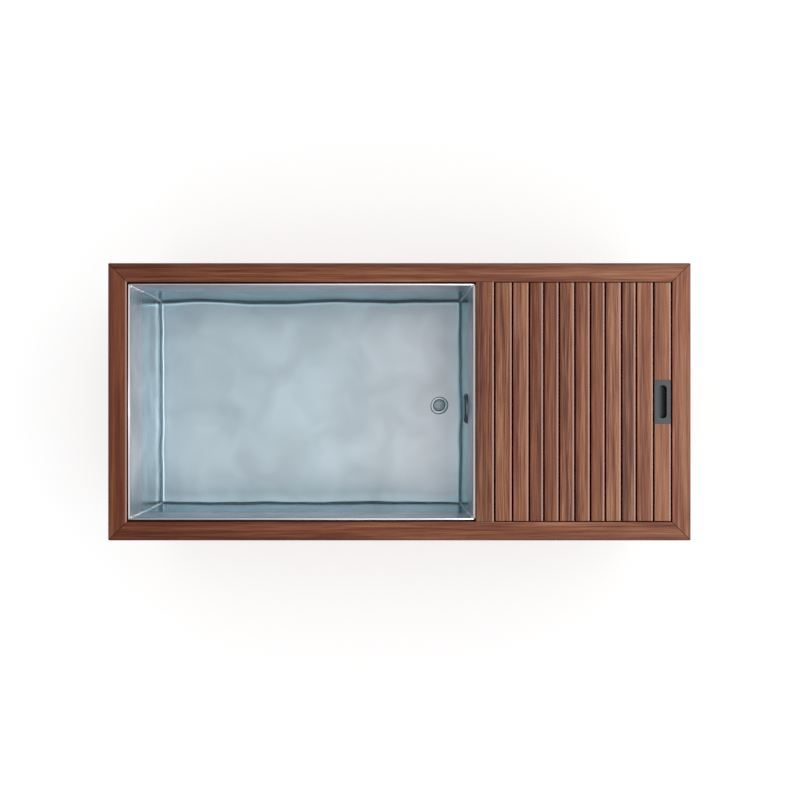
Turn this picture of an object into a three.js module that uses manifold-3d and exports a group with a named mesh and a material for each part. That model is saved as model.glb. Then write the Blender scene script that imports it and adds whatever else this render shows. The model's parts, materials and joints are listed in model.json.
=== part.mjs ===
// Cold plunge tub. A welded steel basin stands in a foam-lined timber surround under a mitred hardwood
// rim. Beside the basin a slatted hatch covers the bay that holds the chiller, pump and filter.
// Millimetres. X runs along the tub towards the hatch, Y towards the back, Z up from the floor.
import * as THREE from "three";
import { mergeVertices } from "three/addons/utils/BufferGeometryUtils.js";
import Module from "manifold-3d";

const wasm = await Module();
wasm.setup();

// Overall sizes
const overallLength = 2100;
const overallWidth = 1000;
const overallHeight = 700;

// Clearances
const seatGap = 0.3; // between pieces that rest on or against each other
const runGap = 0.5; // round pieces that turn or slide
const cutOver = 5; // how far a cut runs past the face it opens
const pipeClear = 1; // round a pipe that runs through foam or board

// Fineness of rounded shapes
const roundSegments = 24;
const smallSegments = 16;
const edgeSegments = 3;
const quarterTurn = Math.PI / 2;
const mergeTolerance = 1e-4;

// Hardwood rim
const rimWidth = 67;
const rimThickness = 24;
const rimEdgeRadius = 3;
const rimCornerRadius = 5;
const rimOverhang = 8;

// Slatted hatch and the fixed board beside it
const slatWidths = [58, 54.5, 46.5, 49.5, 50.5, 50, 47.5, 53, 47, 56.5, 58.5];
const slatThickness = 22;
const slatGap = 6;
const slatEdgeRadius = 2.5;
const slatEndGap = 3.5;
const hatchEndGap = 5;
const dividerWidth = 65.5;
const bearerWidth = 20;
const bearerHeight = 28;
const bearerSideInset = 6;
const bearerLeftInset = 8;
const studRoof = 3.5; // wall of the pivot block above the stud
const pivotMargin = 16;
const studRadius = 5;
const studShoulderRadius = 9;
const studShoulder = 4;
const studClear = 2;
const studChamfer = 1;
const pivotBlockLeft = 22;
const pivotBlockRight = 40;
const pivotBlockBelow = 50;
const hatchOpenAngle = 100;
const stopRadius = 5;
const stopLength = 20;
const stopReach = 40;
const pivotBlockGap = 2;
const cleatWidth = 40;
const cleatHeight = 30;
const cleatEndGap = 4;

// Flush pull in the last slat
const pullLength = 157.5;
const pullPlateThickness = 4;
const pullEdgeRadius = 1;
const pullCupDepth = 18;
const pullWall = 2.5;
const pullPocketWidth = 30;
const pullPocketLength = 120;
const pullPocketCorner = 14;
const pullUndercut = 8;

// Basin
const sheetThickness = 2;
const lipWidth = 7.5;
const lipHeight = 20;
const lipDrop = 6;
const lipEdgeRadius = 2;
const sealWidth = 3.5; // at the two ends
const sealSideWidth = 6.5;
const sealHeight = 12;
const sealDrop = 9;

// Floor drain
const drainInset = 89;
const drainY = -15; // a little to the front, as in the photograph
const drainFlangeRadius = 36;
const drainFlangeThickness = 2.6;
const drainFlangeBevel = [2, 1]; // across and down
const drainSeatBevel = 1;
const drainCupRadius = 30;
const drainSeatRadius = 25.5;
const drainSeatDrop = 6;
const drainWellRadius = 20;
const drainCupFloor = 4;
const drainPipeRadius = 15;
const strainerThickness = 5;
const strainerDome = [[1, 0.6], [0.88, 0.88], [0.5, 1]]; // shares of radius and thickness
const strainerSlots = 8;
const strainerSlotWidth = 3;
const strainerSlotSpan = [0.35, 0.8]; // shares of radius

// Return fitting on the basin's right wall
const returnY = -25;
const returnHeightShare = 0.6;
const returnCoverRadius = 58;
const returnCoverDepth = 12;
const returnDome = [[0.6, 0.8], [0.86, 3], [1, 7]]; // share of radius, depth behind the crown
const returnFlangeRadius = 48;
const returnFlangeThickness = 3;
const returnNeckRadius = 28;
const returnNutRadius = 34;
const returnNutLength = 10;
const returnTailRadius = 20;
const returnTailLength = 34;
const returnSlots = 5;
const returnSlotWidth = 6;
const returnSlotPitch = 15;
const returnSlotReach = 0.8; // share of the flange recess

// Surround
const panelThickness = 40;
const boardPitch = 58;
const grooveWidth = 5;
const grooveDepth = 12;
const runnerHeight = 24;
const runnerWidth = 90;
const runnerSideInset = 130;
const runnerEndInset = 60;
const runnerEdgeRadius = 4;
const baseThickness = 24;
const foamWall = 28;
const foamFloor = 43;
const channelClear = 2;
const bulkheadThickness = 18;
const ventBottom = 120;
const ventTop = 420;
const ventBoards = 10;

// Chiller
const chillerLength = 420;
const chillerDepth = 380;
const chillerHeight = 380;
const chillerWall = 2.5;
const chillerSideGap = 40;
const chillerBackGap = 30;
const louvreCount = 7;
const louvreHeight = 9;
const louvrePitch = 34;
const louvreLength = 260;
const louvreBottom = 60;
const spigotRadius = 20;
const spigotLength = 26;
const chillerInletY = -112;
const chillerInletZ = 190;
const chillerOutletY = 70;
const chillerOutletZ = 300;
const fanOpeningRadius = 150;
const fanRadius = 140;
const fanHubRadius = 44;
const fanHubHeight = 46;
const fanHubFloor = 6;
const fanHubChamfer = 3;
const fanBlades = 5;
const fanBladeHeight = 36;
const fanBladeThickness = 3;
const fanBladeAngle = 24;
const fanBladeRoot = 6; // how deep a blade is let into the hub
const fanBladeFoot = [-0.36, 0.3]; // shares of the chord at the hub
const fanBladeTip = [[0.8, -0.5], [0.97, -0.3], [0.97, 0.42], [0.8, 0.5]]; // shares of radius and chord
const spindleRadius = 8;
const motorPlateRadius = 38;
const motorPlateThickness = 8;
const guardRings = [44, 84, 124, 164];
const guardWire = 4;
const guardSpokes = 6;

// Pump
const pumpSideGap = 130;
const pumpEndGap = 130;
const pumpAxisHeight = 96;
const voluteRadius = 72;
const voluteLength = 74;
const voluteChamfer = 8;
const voluteTaper = 10;
const pumpInletLength = 40;
const pumpSpigotRoot = 10;
const pumpCollarRadius = 25;
const pumpCollarLength = 16;
const pumpOutletHeight = 100;
const pumpMotorRadius = 56;
const pumpMotorLength = 190;
const pumpFins = 14;
const pumpFinDepth = 6;
const pumpFinWidth = 4;
const pumpCowlLength = 36;
const pumpCowlProud = 3;
const pumpCowlTaper = [9, 8]; // inwards and along
const pumpCowlLap = 2;
const terminalSpan = [0.25, 0.7]; // shares of the motor's length
const terminalHalf = 0.6; // share of the motor's radius
const terminalHeight = 22;
const pumpFootWidth = 130;
const pumpFootInset = 8;
const pumpFootThickness = 14;
const pumpWebInset = 18;
const pumpWebLap = 2;

// Cartridge filter
const filterLeftGap = 84;
const filterFrontGap = 176;
const filterRadius = 60;
const filterHeight = 330;
const filterCollarRadius = 76;
const filterCollarHeight = 26;
const filterCollarWall = 12;
const filterCollarSlope = 10;
const filterCollarFloor = 8;
const filterFoot = [[8, 0], [8, 10], [-4, 18], [-4, 40], [0, 48]]; // offset from the radius, height
const filterPortHeight = 270;
const filterPortLength = 88;
const filterLidHeight = 40;
const filterLidRadius = 74;
const filterLidPlug = 10;
const filterLidCrown = [[1, 0.6], [0.84, 0.85], [0.4, 1]]; // shares of radius and height
const filterLugHeight = 22;
const filterLugInset = 2;
const filterLugs = 6;
const filterLugRadius = 8;

// Control box
const controlLength = 220;
const controlHeight = 110;
const controlDeep = 76;
const controlShallow = 34;
const controlRightGap = 150;
const controlDrop = 62;
const displayLength = 96;
const displayHeight = 40;
const displayRecess = 2;
const displayShift = 42;
const buttonRadius = 11;
const buttonHeight = 10;
const buttonProud = 4;
const buttonChamfer = 1.5;
const buttonWellSpare = 3;
const buttonShift = -66;
const faceMiddle = 0.5; // share of the sloping face

// Suction tee, drain valve and outlet
const teeInset = 62;
const teeRadius = 20;
const teeHalfLength = 34;
const teeBranch = 50;
const valveLength = 92;
const valveRadius = 18;
const valveNutRadius = 21;
const valveNutLength = 20;
const valveNutSides = 8;
const valveBodyInset = 2;
const stemRadius = 6;
const stemHeight = 14;
const leverLength = 92;
const leverWidth = 18;
const leverThickness = 4;
const leverHubRadius = 13;
const leverGripLength = 56;
const leverGripThickness = 10;
const leverGripProud = 2;
const leverGripOver = 4;
const leverGripRadius = 2;
const outletRadius = 15;
const outletWall = 4;
const outletBoreDepth = 30;
const outletFlangeRadius = 21;
const outletFlangeThickness = 3;
const outletProud = 6;

// Hoses and the supply gland
const hoseRadius = 16;
const hoseSides = 10;
const hoseSteps = 15;
const hoseReach = 110;
const suctionEndReach = 55;
const pressureEndReach = 66;
const filterStartReach = 132;
const glandRadius = 11;
const glandHeadRadius = 18;
const glandHeadThickness = 6;
const glandHeadBevel = [4, 2]; // across and along
const glandBore = 5;
const glandBoreDepth = 20;
const glandHeight = 110;
const glandShift = -300;
const glandTail = 14;

// Heights that follow from the sizes above
const rimBottom = overallHeight - rimThickness;
const slatBottom = overallHeight - slatThickness;
const baseBottom = runnerHeight + seatGap;
const baseTop = baseBottom + baseThickness;
const foamBottom = baseTop + seatGap;
const basinBottom = foamBottom + foamFloor + seatGap;
const floorTop = basinBottom + sheetThickness;
const lipTop = overallHeight - lipDrop;
const lipBottom = lipTop - lipHeight;
const returnZ = floorTop + returnHeightShare * (lipTop - floorTop);
const pipeZ = (foamBottom + basinBottom) / 2;

// Lengths and widths that follow
const rimInnerX = overallLength / 2 - rimWidth;
const rimInnerY = overallWidth / 2 - rimWidth;
const slatHalfLength = rimInnerY - slatEndGap;
const slatTotal = slatWidths.reduce((sum, width) => sum + width, 0);
const lastSlatWidth = slatWidths[slatWidths.length - 1];
const hatchRight = rimInnerX - hatchEndGap;
const hatchLeft = hatchRight - slatTotal - slatGap * (slatWidths.length - 1);
const dividerRight = hatchLeft - slatGap;
const dividerLeft = dividerRight - dividerWidth;
const basinRight = dividerLeft - sealWidth - lipWidth;
const basinLeft = -rimInnerX + sealWidth + lipWidth;
const basinHalfWidth = rimInnerY - sealSideWidth - lipWidth;
const panelOuterX = overallLength / 2 - rimOverhang;
const panelOuterY = overallWidth / 2 - rimOverhang;
const panelInnerX = panelOuterX - panelThickness;
const panelInnerY = panelOuterY - panelThickness;
const bulkheadLeft = basinRight + sheetThickness + foamWall;
const bayLeft = bulkheadLeft + bulkheadThickness;
const bayRight = panelInnerX;
const drainX = basinRight - drainInset;
const teeX = bayLeft + teeInset;

// The pivot lies low and well inside the hatch, so that the stub end clears the fixed board
const pivotDrop = Math.max(
  slatThickness + studShoulderRadius + studClear, rimThickness + studRadius + runGap + studRoof);
const pivotInset = (pivotDrop ** 2 - slatGap ** 2) / (2 * slatGap) + pivotMargin;
const pivotX = hatchLeft + pivotInset;
const pivotZ = overallHeight - pivotDrop;
const bearerOuterY = slatHalfLength - bearerSideInset;
const bearerInnerY = bearerOuterY - bearerWidth;
const pivotBlockInnerY = slatHalfLength + pivotBlockGap;
const pivotBlockOuterY = panelInnerY - seatGap;

// Finishes, colours read from the photograph
const rimWood = { color: "#8c5c47", roughness: 0.5, metalness: 0 };
const darkWood = { color: "#7a5242", roughness: 0.5, metalness: 0 };
const slatWood = { color: "#8f644f", roughness: 0.5, metalness: 0 };
const panelWood = { color: "#865843", roughness: 0.55, metalness: 0 };
const steelSheet = { color: "#a9b2b8", roughness: 0.32, metalness: 1 };
const steelPart = { color: "#a2a6aa", roughness: 0.28, metalness: 1 };
const blackAlloy = { color: "#2b2d2f", roughness: 0.45, metalness: 0.6 };
const darkAlloy = { color: "#5f6265", roughness: 0.45, metalness: 0.6 };
const plyBoard = { color: "#b08d63", roughness: 0.7, metalness: 0 };
const blackRubber = { color: "#1c1c1d", roughness: 0.8, metalness: 0 };
const blackPlastic = { color: "#26282a", roughness: 0.5, metalness: 0 };
const whitePlastic = { color: "#d9dadb", roughness: 0.4, metalness: 0 };
const greyPlastic = { color: "#8d9296", roughness: 0.45, metalness: 0 };
const foam = { color: "#5b6f86", roughness: 0.9, metalness: 0 };
const coatedSteel = { color: "#c9ccce", roughness: 0.45, metalness: 0.1 };
const pumpBlue = { color: "#33475c", roughness: 0.45, metalness: 0.1 };
const redGrip = { color: "#a3312b", roughness: 0.5, metalness: 0 };
const clearHose = { color: "#5c6468", roughness: 0.35, metalness: 0 };

function solidOf(geometry) {
  const bare = new THREE.BufferGeometry();
  const loose = geometry.index ? geometry.toNonIndexed() : geometry;
  bare.setAttribute("position", loose.attributes.position.clone());
  const merged = mergeVertices(bare, mergeTolerance);
  const corners = [];
  for (let i = 0; i < merged.index.count; i += 3) {
    const [a, b, c] = [0, 1, 2].map((k) => merged.index.getX(i + k));
    if (a !== b && b !== c && c !== a) corners.push(a, b, c);
  }
  const vertProperties = new Float32Array(merged.attributes.position.array);
  const triVerts = new Uint32Array(corners);
  return new wasm.Manifold(new wasm.Mesh({ numProp: 3, vertProperties, triVerts }));
}

function geometryOf(solid) {
  const mesh = solid.getMesh();
  const geometry = new THREE.BufferGeometry();
  const corners = new Float32Array(mesh.vertProperties);
  geometry.setAttribute("position", new THREE.BufferAttribute(corners, 3));
  geometry.setIndex(new THREE.BufferAttribute(new Uint32Array(mesh.triVerts), 1));
  geometry.computeVertexNormals();
  return geometry;
}

function join(first, ...others) {
  return geometryOf(others.reduce((sum, other) => sum.add(solidOf(other)), solidOf(first)));
}

function cut(body, ...tools) {
  return geometryOf(tools.reduce((rest, tool) => rest.subtract(solidOf(tool)), solidOf(body)));
}

function common(first, second) {
  return geometryOf(solidOf(first).intersect(solidOf(second)));
}

function block([x0, x1], [y0, y1], [z0, z1]) {
  const box = new THREE.BoxGeometry(x1 - x0, y1 - y0, z1 - z0);
  return box.translate((x0 + x1) / 2, (y0 + y1) / 2, (z0 + z1) / 2);
}

// A turned piece about Z from a profile of radius and height, listed from the bottom upwards
function turned(profile, segments = roundSegments) {
  const points = profile.map(([radius, height]) => new THREE.Vector2(radius, height));
  return new THREE.LatheGeometry(points, segments).rotateX(quarterTurn);
}

function rod(radius, length, segments = smallSegments) {
  return turned([[0, 0], [radius, 0], [radius, length], [0, length]], segments);
}

function alongX(geometry) {
  return geometry.rotateY(quarterTurn);
}

function alongY(geometry) {
  return geometry.rotateX(-quarterTurn);
}

function outline(points) {
  return new THREE.Shape(points.map(([x, y]) => new THREE.Vector2(x, y)));
}

function prism(shape, height) {
  const settings = { depth: height, bevelEnabled: false, curveSegments: edgeSegments };
  return new THREE.ExtrudeGeometry(shape, settings);
}

// Turns a prism drawn in the YZ plane so that it runs along X, centred
function runAlongX(geometry, length) {
  const basis = new THREE.Matrix4().makeBasis(
    new THREE.Vector3(0, 1, 0), new THREE.Vector3(0, 0, 1), new THREE.Vector3(1, 0, 0));
  return geometry.applyMatrix4(basis).translate(-length / 2, 0, 0);
}

function roundedRectangle(width, length, radius) {
  const [x, y] = [width / 2, length / 2];
  const shape = new THREE.Shape();
  shape.moveTo(-x + radius, -y);
  shape.lineTo(x - radius, -y);
  shape.absarc(x - radius, -y + radius, radius, -quarterTurn, 0);
  shape.lineTo(x, y - radius);
  shape.absarc(x - radius, y - radius, radius, 0, quarterTurn);
  shape.lineTo(-x + radius, y);
  shape.absarc(-x + radius, y - radius, radius, quarterTurn, 2 * quarterTurn);
  shape.lineTo(-x, -y + radius);
  shape.absarc(-x + radius, -y + radius, radius, 2 * quarterTurn, 3 * quarterTurn);
  return shape;
}

// Board section with its two upper edges eased, drawn from u = 0 to the width
function easedSection(width, thickness, radius) {
  const shape = new THREE.Shape();
  shape.moveTo(0, 0);
  shape.lineTo(width, 0);
  shape.lineTo(width, thickness - radius);
  shape.absarc(width - radius, thickness - radius, radius, 0, quarterTurn);
  shape.lineTo(radius, thickness);
  shape.absarc(radius, thickness - radius, radius, quarterTurn, 2 * quarterTurn);
  return shape;
}

// A box whose upper and lower edges are rounded and whose upright corners stay sharp
function easedBox([x0, x1], [y0, y1], [z0, z1], radius) {
  const shape = outline([[x0, y0], [x1, y0], [x1, y1], [x0, y1]]);
  const settings = {
    depth: z1 - z0 - 2 * radius,
    bevelThickness: radius,
    bevelSize: radius,
    bevelOffset: -radius,
    bevelSegments: edgeSegments,
  };
  return new THREE.ExtrudeGeometry(shape, settings).translate(0, 0, z0 + radius);
}

// Mitres both ends of a run along X, which grows longer (1) or shorter (-1) towards +Y
function mitred(run, length, growth) {
  const position = run.attributes.position;
  for (let i = 0; i < position.count; i += 1) {
    const reach = length / 2 + growth * position.getY(i) - seatGap;
    position.setX(i, Math.sign(position.getX(i)) * reach);
  }
  return run;
}

// A rim board with its outer edge on Y = 0, mitred at both ends and with its outer corners rounded
function rimBoard(length) {
  const section = easedSection(rimWidth, rimThickness, rimEdgeRadius);
  const board = mitred(runAlongX(prism(section, length), length), length, -1);
  const plan = roundedRectangle(length, 4 * rimWidth, rimCornerRadius);
  return common(board, prism(plan, rimThickness).translate(0, 2 * rimWidth, 0));
}

// A straight board that runs along Y, centred on X = 0
function crossBoard(width, thickness, radius, halfLength) {
  const section = easedSection(width, thickness, radius);
  const board = runAlongX(prism(section, 2 * halfLength), 2 * halfLength);
  return board.translate(0, -width / 2, 0).rotateZ(quarterTurn);
}

function pullPocketOutline() {
  return roundedRectangle(pullPocketWidth, pullPocketLength, pullPocketCorner);
}

// The last slat, rebated for the pull's plate and pierced for its cup
function pullSlat() {
  const slat = crossBoard(lastSlatWidth, slatThickness, slatEdgeRadius, slatHalfLength);
  const rebateHalf = pullLength / 2 + seatGap;
  const rebateBottom = slatThickness - pullPlateThickness - seatGap;
  const rebate = block(
    [-lastSlatWidth, lastSlatWidth], [-rebateHalf, rebateHalf],
    [rebateBottom, slatThickness + cutOver]);
  const cupHole = prism(pullCupOutline(seatGap), slatThickness + 2 * cutOver);
  cupHole.translate(pullUndercut / 2, 0, -cutOver);
  return cut(slat, rebate, cupHole);
}

function pullCupOutline(clearance) {
  const width = pullPocketWidth + pullUndercut + 2 * (pullWall + clearance);
  const length = pullPocketLength + 2 * (pullWall + clearance);
  return roundedRectangle(width, length, pullPocketWidth / 2);
}

// Plate, cup and a finger undercut towards the free end of the hatch; the top face is Z = 0
function flushPull() {
  const plate = easedBox(
    [-lastSlatWidth / 2, lastSlatWidth / 2], [-pullLength / 2, pullLength / 2],
    [-pullPlateThickness, 0], pullEdgeRadius);
  const shift = pullUndercut / 2;
  const cup = prism(pullCupOutline(0), pullCupDepth - pullPlateThickness / 2);
  cup.translate(shift, 0, -pullCupDepth);
  const mouth = prism(pullPocketOutline(), pullCupDepth).translate(0, 0, -pullCupDepth + pullWall);
  const hollowWidth = pullPocketWidth + pullUndercut;
  const hollowOutline = roundedRectangle(hollowWidth, pullPocketLength, pullPocketWidth / 2);
  const hollowDepth = pullCupDepth - pullWall - pullPlateThickness;
  const hollow = prism(hollowOutline, hollowDepth).translate(shift, 0, -pullCupDepth + pullWall);
  return cut(join(plate, cup), mouth, hollow);
}

// The stud that turns in the pivot block: a shouldered pin along Y from the middle of the bearer
function pivotStud() {
  const shoulder = bearerWidth / 2 + studShoulder;
  const tip = pivotBlockOuterY - seatGap - (bearerOuterY - bearerWidth / 2);
  return alongY(turned([
    [0, 0],
    [studShoulderRadius, 0],
    [studShoulderRadius, shoulder],
    [studRadius, shoulder],
    [studRadius, tip - studChamfer],
    [studRadius - studChamfer, tip],
    [0, tip],
  ], smallSegments));
}

// A bearer bar with its pivot stud welded into the face that looks to the back (1) or front (-1)
function lidBearer(side) {
  const top = slatBottom - seatGap - pivotZ;
  const bar = block(
    [hatchLeft + bearerLeftInset - pivotX, bayRight - cleatWidth - cleatEndGap - pivotX],
    [-bearerWidth / 2, bearerWidth / 2], [top - bearerHeight, top]);
  const stud = pivotStud();
  return join(bar, side > 0 ? stud : stud.rotateZ(Math.PI));
}

// Where a stop lug meets the underside of the bearer's stub when the hatch is fully open
function stopPlace() {
  const angle = THREE.MathUtils.degToRad(hatchOpenAngle);
  const bearerBottom = pivotZ + bearerHeight + seatGap - slatBottom;
  const away = bearerBottom + stopRadius + seatGap;
  return [
    away * Math.sin(angle) - stopReach * Math.cos(angle),
    -away * Math.cos(angle) - stopReach * Math.sin(angle),
  ];
}

// Bearing block for the stud with its stop lug, on the back panel (side 1) or the front panel (-1)
function pivotBlock(side) {
  const faces = [side * pivotBlockInnerY, side * pivotBlockOuterY].sort((a, b) => a - b);
  const body = block(
    [-pivotBlockLeft, pivotBlockRight], faces, [-pivotBlockBelow, rimBottom - seatGap - pivotZ]);
  const bore = alongY(rod(studRadius + runGap, overallWidth)).translate(0, -overallWidth / 2, 0);
  const [x, z] = stopPlace();
  const lugStart = side > 0 ? pivotBlockInnerY - stopLength : -pivotBlockInnerY - cutOver;
  const lug = alongY(rod(stopRadius, stopLength + cutOver)).translate(x, lugStart, z);
  return join(cut(body, bore), lug);
}

// Rebated cleat on the end panel: the hatch's free end lands on its step
function restCleat() {
  const right = bayRight - seatGap;
  const left = right - cleatWidth;
  const step = rimInnerX - seatGap;
  const top = slatBottom - seatGap;
  const shelf = rimBottom - seatGap;
  const section = outline([
    [left, top - cleatHeight], [right, top - cleatHeight], [right, shelf],
    [step, shelf], [step, top], [left, top],
  ]);
  const length = 2 * (panelInnerY - 2 * cleatWidth);
  return prism(section, length).rotateX(quarterTurn).translate(0, length / 2, 0);
}

// A wall sheet with its folded lip: inner face on Y = 0, lip outwards, ends mitred for the corner welds
function basinWall(length) {
  const lipInner = lipTop - lipEdgeRadius;
  const section = new THREE.Shape();
  section.moveTo(0, basinBottom);
  section.lineTo(sheetThickness, basinBottom);
  section.lineTo(sheetThickness, lipBottom);
  section.lineTo(lipWidth, lipBottom);
  section.absarc(lipWidth - lipEdgeRadius, lipInner, lipEdgeRadius, 0, quarterTurn);
  section.absarc(lipEdgeRadius, lipInner, lipEdgeRadius, quarterTurn, 2 * quarterTurn);
  return mitred(runAlongX(prism(section, length), length), length, 1);
}

// The wall at the bay, pierced for the return fitting
function returnWall(length) {
  const hole = alongY(rod(returnNeckRadius + seatGap, 4 * cutOver, roundSegments));
  return cut(basinWall(length), hole.translate(-returnY, -2 * cutOver, returnZ));
}

// The floor sheet, pierced for the drain
function basinFloor() {
  const half = basinHalfWidth - seatGap;
  const sheet = block(
    [basinLeft + seatGap, basinRight - seatGap], [-half, half], [basinBottom, floorTop]);
  const hole = rod(drainCupRadius + seatGap, 4 * cutOver, roundSegments);
  return cut(sheet, hole.translate(drainX, drainY, basinBottom - 2 * cutOver));
}

// Seal strip in the gap between the basin's lip and the wood, all the way round
function basinSeal() {
  const ring = (ends, sides) => [
    [basinLeft - lipWidth - ends, basinRight + lipWidth + ends],
    [-basinHalfWidth - lipWidth - sides, basinHalfWidth + lipWidth + sides],
  ];
  const top = overallHeight - sealDrop;
  const outer = block(...ring(sealWidth - seatGap, sealSideWidth - seatGap), [top - sealHeight, top]);
  const inner = block(...ring(seatGap, seatGap), [top - sealHeight - cutOver, top + cutOver]);
  return cut(outer, inner);
}

function drainBody() {
  const flangeBottom = floorTop + seatGap;
  const flangeTop = flangeBottom + drainFlangeThickness;
  const cupBottom = foamBottom + seatGap;
  const seat = flangeTop - drainSeatDrop;
  const [across, down] = drainFlangeBevel;
  const cup = turned([
    [0, cupBottom], [drainCupRadius, cupBottom], [drainCupRadius, flangeBottom],
    [drainFlangeRadius, flangeBottom], [drainFlangeRadius, flangeTop - down],
    [drainFlangeRadius - across, flangeTop], [drainSeatRadius + drainSeatBevel, flangeTop],
    [drainSeatRadius, flangeTop - drainSeatBevel], [drainSeatRadius, seat], [drainWellRadius, seat],
    [drainWellRadius, cupBottom + drainCupFloor], [0, cupBottom + drainCupFloor],
  ]);
  const reach = teeX - teeHalfLength - seatGap - drainX;
  const pipe = alongX(rod(drainPipeRadius, reach - drainWellRadius));
  pipe.translate(drainWellRadius, 0, pipeZ);
  const well = rod(drainWellRadius, flangeTop, roundSegments);
  well.translate(0, 0, cupBottom + drainCupFloor);
  return cut(join(cup, pipe), well);
}

function drainStrainer() {
  const radius = drainSeatRadius - runGap;
  const crown = strainerDome.map(([out, up]) => [radius * out, strainerThickness * up]);
  const dome = turned([[0, 0], [radius, 0], ...crown, [0, strainerThickness]]);
  const slots = [];
  for (let i = 0; i < strainerSlots; i += 1) {
    const slot = block(
      strainerSlotSpan.map((share) => radius * share), [-strainerSlotWidth / 2, strainerSlotWidth / 2],
      [-cutOver, strainerThickness + cutOver]);
    slots.push(slot.rotateZ((i * 2 * Math.PI) / strainerSlots));
  }
  return cut(dome, ...slots);
}

// Through-wall body: flange inside the basin, neck through wall, foam and bulkhead, tail in the bay
function returnBody() {
  const flangeStart = -returnFlangeThickness - seatGap;
  const neckEnd = bayLeft + seatGap - basinRight;
  return alongX(turned([
    [0, flangeStart], [returnFlangeRadius, flangeStart], [returnFlangeRadius, -seatGap],
    [returnNeckRadius, -seatGap], [returnNeckRadius, neckEnd], [returnNutRadius, neckEnd],
    [returnNutRadius, neckEnd + returnNutLength], [returnTailRadius, neckEnd + returnNutLength],
    [returnTailRadius, neckEnd + returnTailLength], [0, neckEnd + returnTailLength],
  ]));
}

// Slotted dome that covers the flange; its rim stands against the basin wall at X = 0
function returnCover() {
  const depth = returnCoverDepth;
  const recess = returnFlangeThickness + 2 * seatGap;
  const recessRadius = returnFlangeRadius + 2 * seatGap;
  const crown = returnDome.map(([out, behind]) => [returnCoverRadius * out, behind - depth]);
  const dome = alongX(turned([
    [0, -depth], ...crown, [returnCoverRadius, -seatGap], [recessRadius, -seatGap],
    [recessRadius, -recess], [0, -recess],
  ]));
  const slots = [];
  for (let i = 0; i < returnSlots; i += 1) {
    const across = (i - (returnSlots - 1) / 2) * returnSlotPitch;
    const reach = Math.sqrt((recessRadius * returnSlotReach) ** 2 - across ** 2);
    const halfSlot = returnSlotWidth / 2;
    slots.push(block(
      [-depth - cutOver, cutOver], [across - halfSlot, across + halfSlot], [-reach, reach]));
  }
  return cut(dome, ...slots);
}

// Foam tray round the basin with a channel for the drain and a hole for the return
function foamJacket() {
  const [left, right, half] = [basinLeft, basinRight, basinHalfWidth];
  const inner = sheetThickness + seatGap;
  const outer = sheetThickness + foamWall - seatGap;
  const top = lipBottom - seatGap;
  const tray = block([left - outer, right + outer], [-half - outer, half + outer], [foamBottom, top]);
  const inside = block(
    [left - inner, right + inner], [-half - inner, half + inner], [basinBottom - seatGap, top + cutOver]);
  const cupSpace = rod(drainCupRadius + pipeClear, 2 * foamFloor, roundSegments);
  cupSpace.translate(drainX, drainY, foamBottom - cutOver);
  const channelHalf = drainPipeRadius + channelClear;
  const channel = block(
    [drainX, right + outer + cutOver], [drainY - channelHalf, drainY + channelHalf],
    [foamBottom - cutOver, basinBottom]);
  const neckSpace = alongX(rod(returnNeckRadius + pipeClear, foamWall + 2 * cutOver));
  return cut(tray, inside, cupSpace, channel, neckSpace.translate(right, returnY, returnZ));
}

function bulkhead() {
  const half = panelInnerY - seatGap;
  const board = block([bulkheadLeft, bayLeft], [-half, half], [foamBottom, rimBottom - seatGap]);
  const through = bulkheadThickness + 2 * cutOver;
  const pipeHole = alongX(rod(drainPipeRadius + pipeClear, through));
  const neckHole = alongX(rod(returnNeckRadius + pipeClear, through, roundSegments));
  return cut(
    board,
    pipeHole.translate(bulkheadLeft - cutOver, drainY, pipeZ),
    neckHole.translate(bulkheadLeft - cutOver, returnY, returnZ));
}

function grooveCentres(length) {
  const boards = Math.round(length / boardPitch);
  const centres = [];
  for (let i = 1; i < boards; i += 1) centres.push((i * length) / boards - length / 2);
  return centres;
}

// Boarded panel with its outer face on Y = 0: upright boards with shadow grooves, mitred ends
function boardedPanel(length) {
  const half = length / 2 - seatGap;
  const points = [[-half + panelThickness, panelThickness], [-half, 0]];
  for (const x of grooveCentres(length)) {
    const [a, b] = [x - grooveWidth / 2, x + grooveWidth / 2];
    points.push([a, 0], [a, grooveDepth], [b, grooveDepth], [b, 0]);
  }
  points.push([half, 0], [half - panelThickness, panelThickness]);
  return prism(outline(points), rimBottom - seatGap - baseBottom).translate(0, 0, baseBottom);
}

// End panel at the bay: the middle grooves are cut right through to let the chiller breathe
function ventedPanel() {
  const length = 2 * panelOuterY;
  const centres = grooveCentres(length);
  const first = Math.floor((centres.length - ventBoards) / 2);
  const slots = centres.slice(first, first + ventBoards).map((x) => block(
    [x - grooveWidth / 2, x + grooveWidth / 2], [grooveDepth - cutOver, panelThickness + cutOver],
    [ventBottom, ventTop]));
  const glandHole = alongY(rod(glandRadius + seatGap, panelThickness + 2 * cutOver));
  return cut(boardedPanel(length), ...slots, glandHole.translate(glandShift, -cutOver, glandHeight));
}

// Back panel, pierced for the drain outlet
function outletPanel() {
  const hole = alongY(rod(outletRadius + runGap, panelThickness + 2 * cutOver, roundSegments));
  return cut(boardedPanel(2 * panelOuterX), hole.translate(-teeX, -cutOver, pipeZ));
}

// Skid that carries the base board along the whole tub
function runner() {
  const [half, halfWidth] = [panelOuterX - runnerEndInset, runnerWidth / 2];
  return easedBox([-half, half], [-halfWidth, halfWidth], [0, runnerHeight], runnerEdgeRadius);
}

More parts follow.
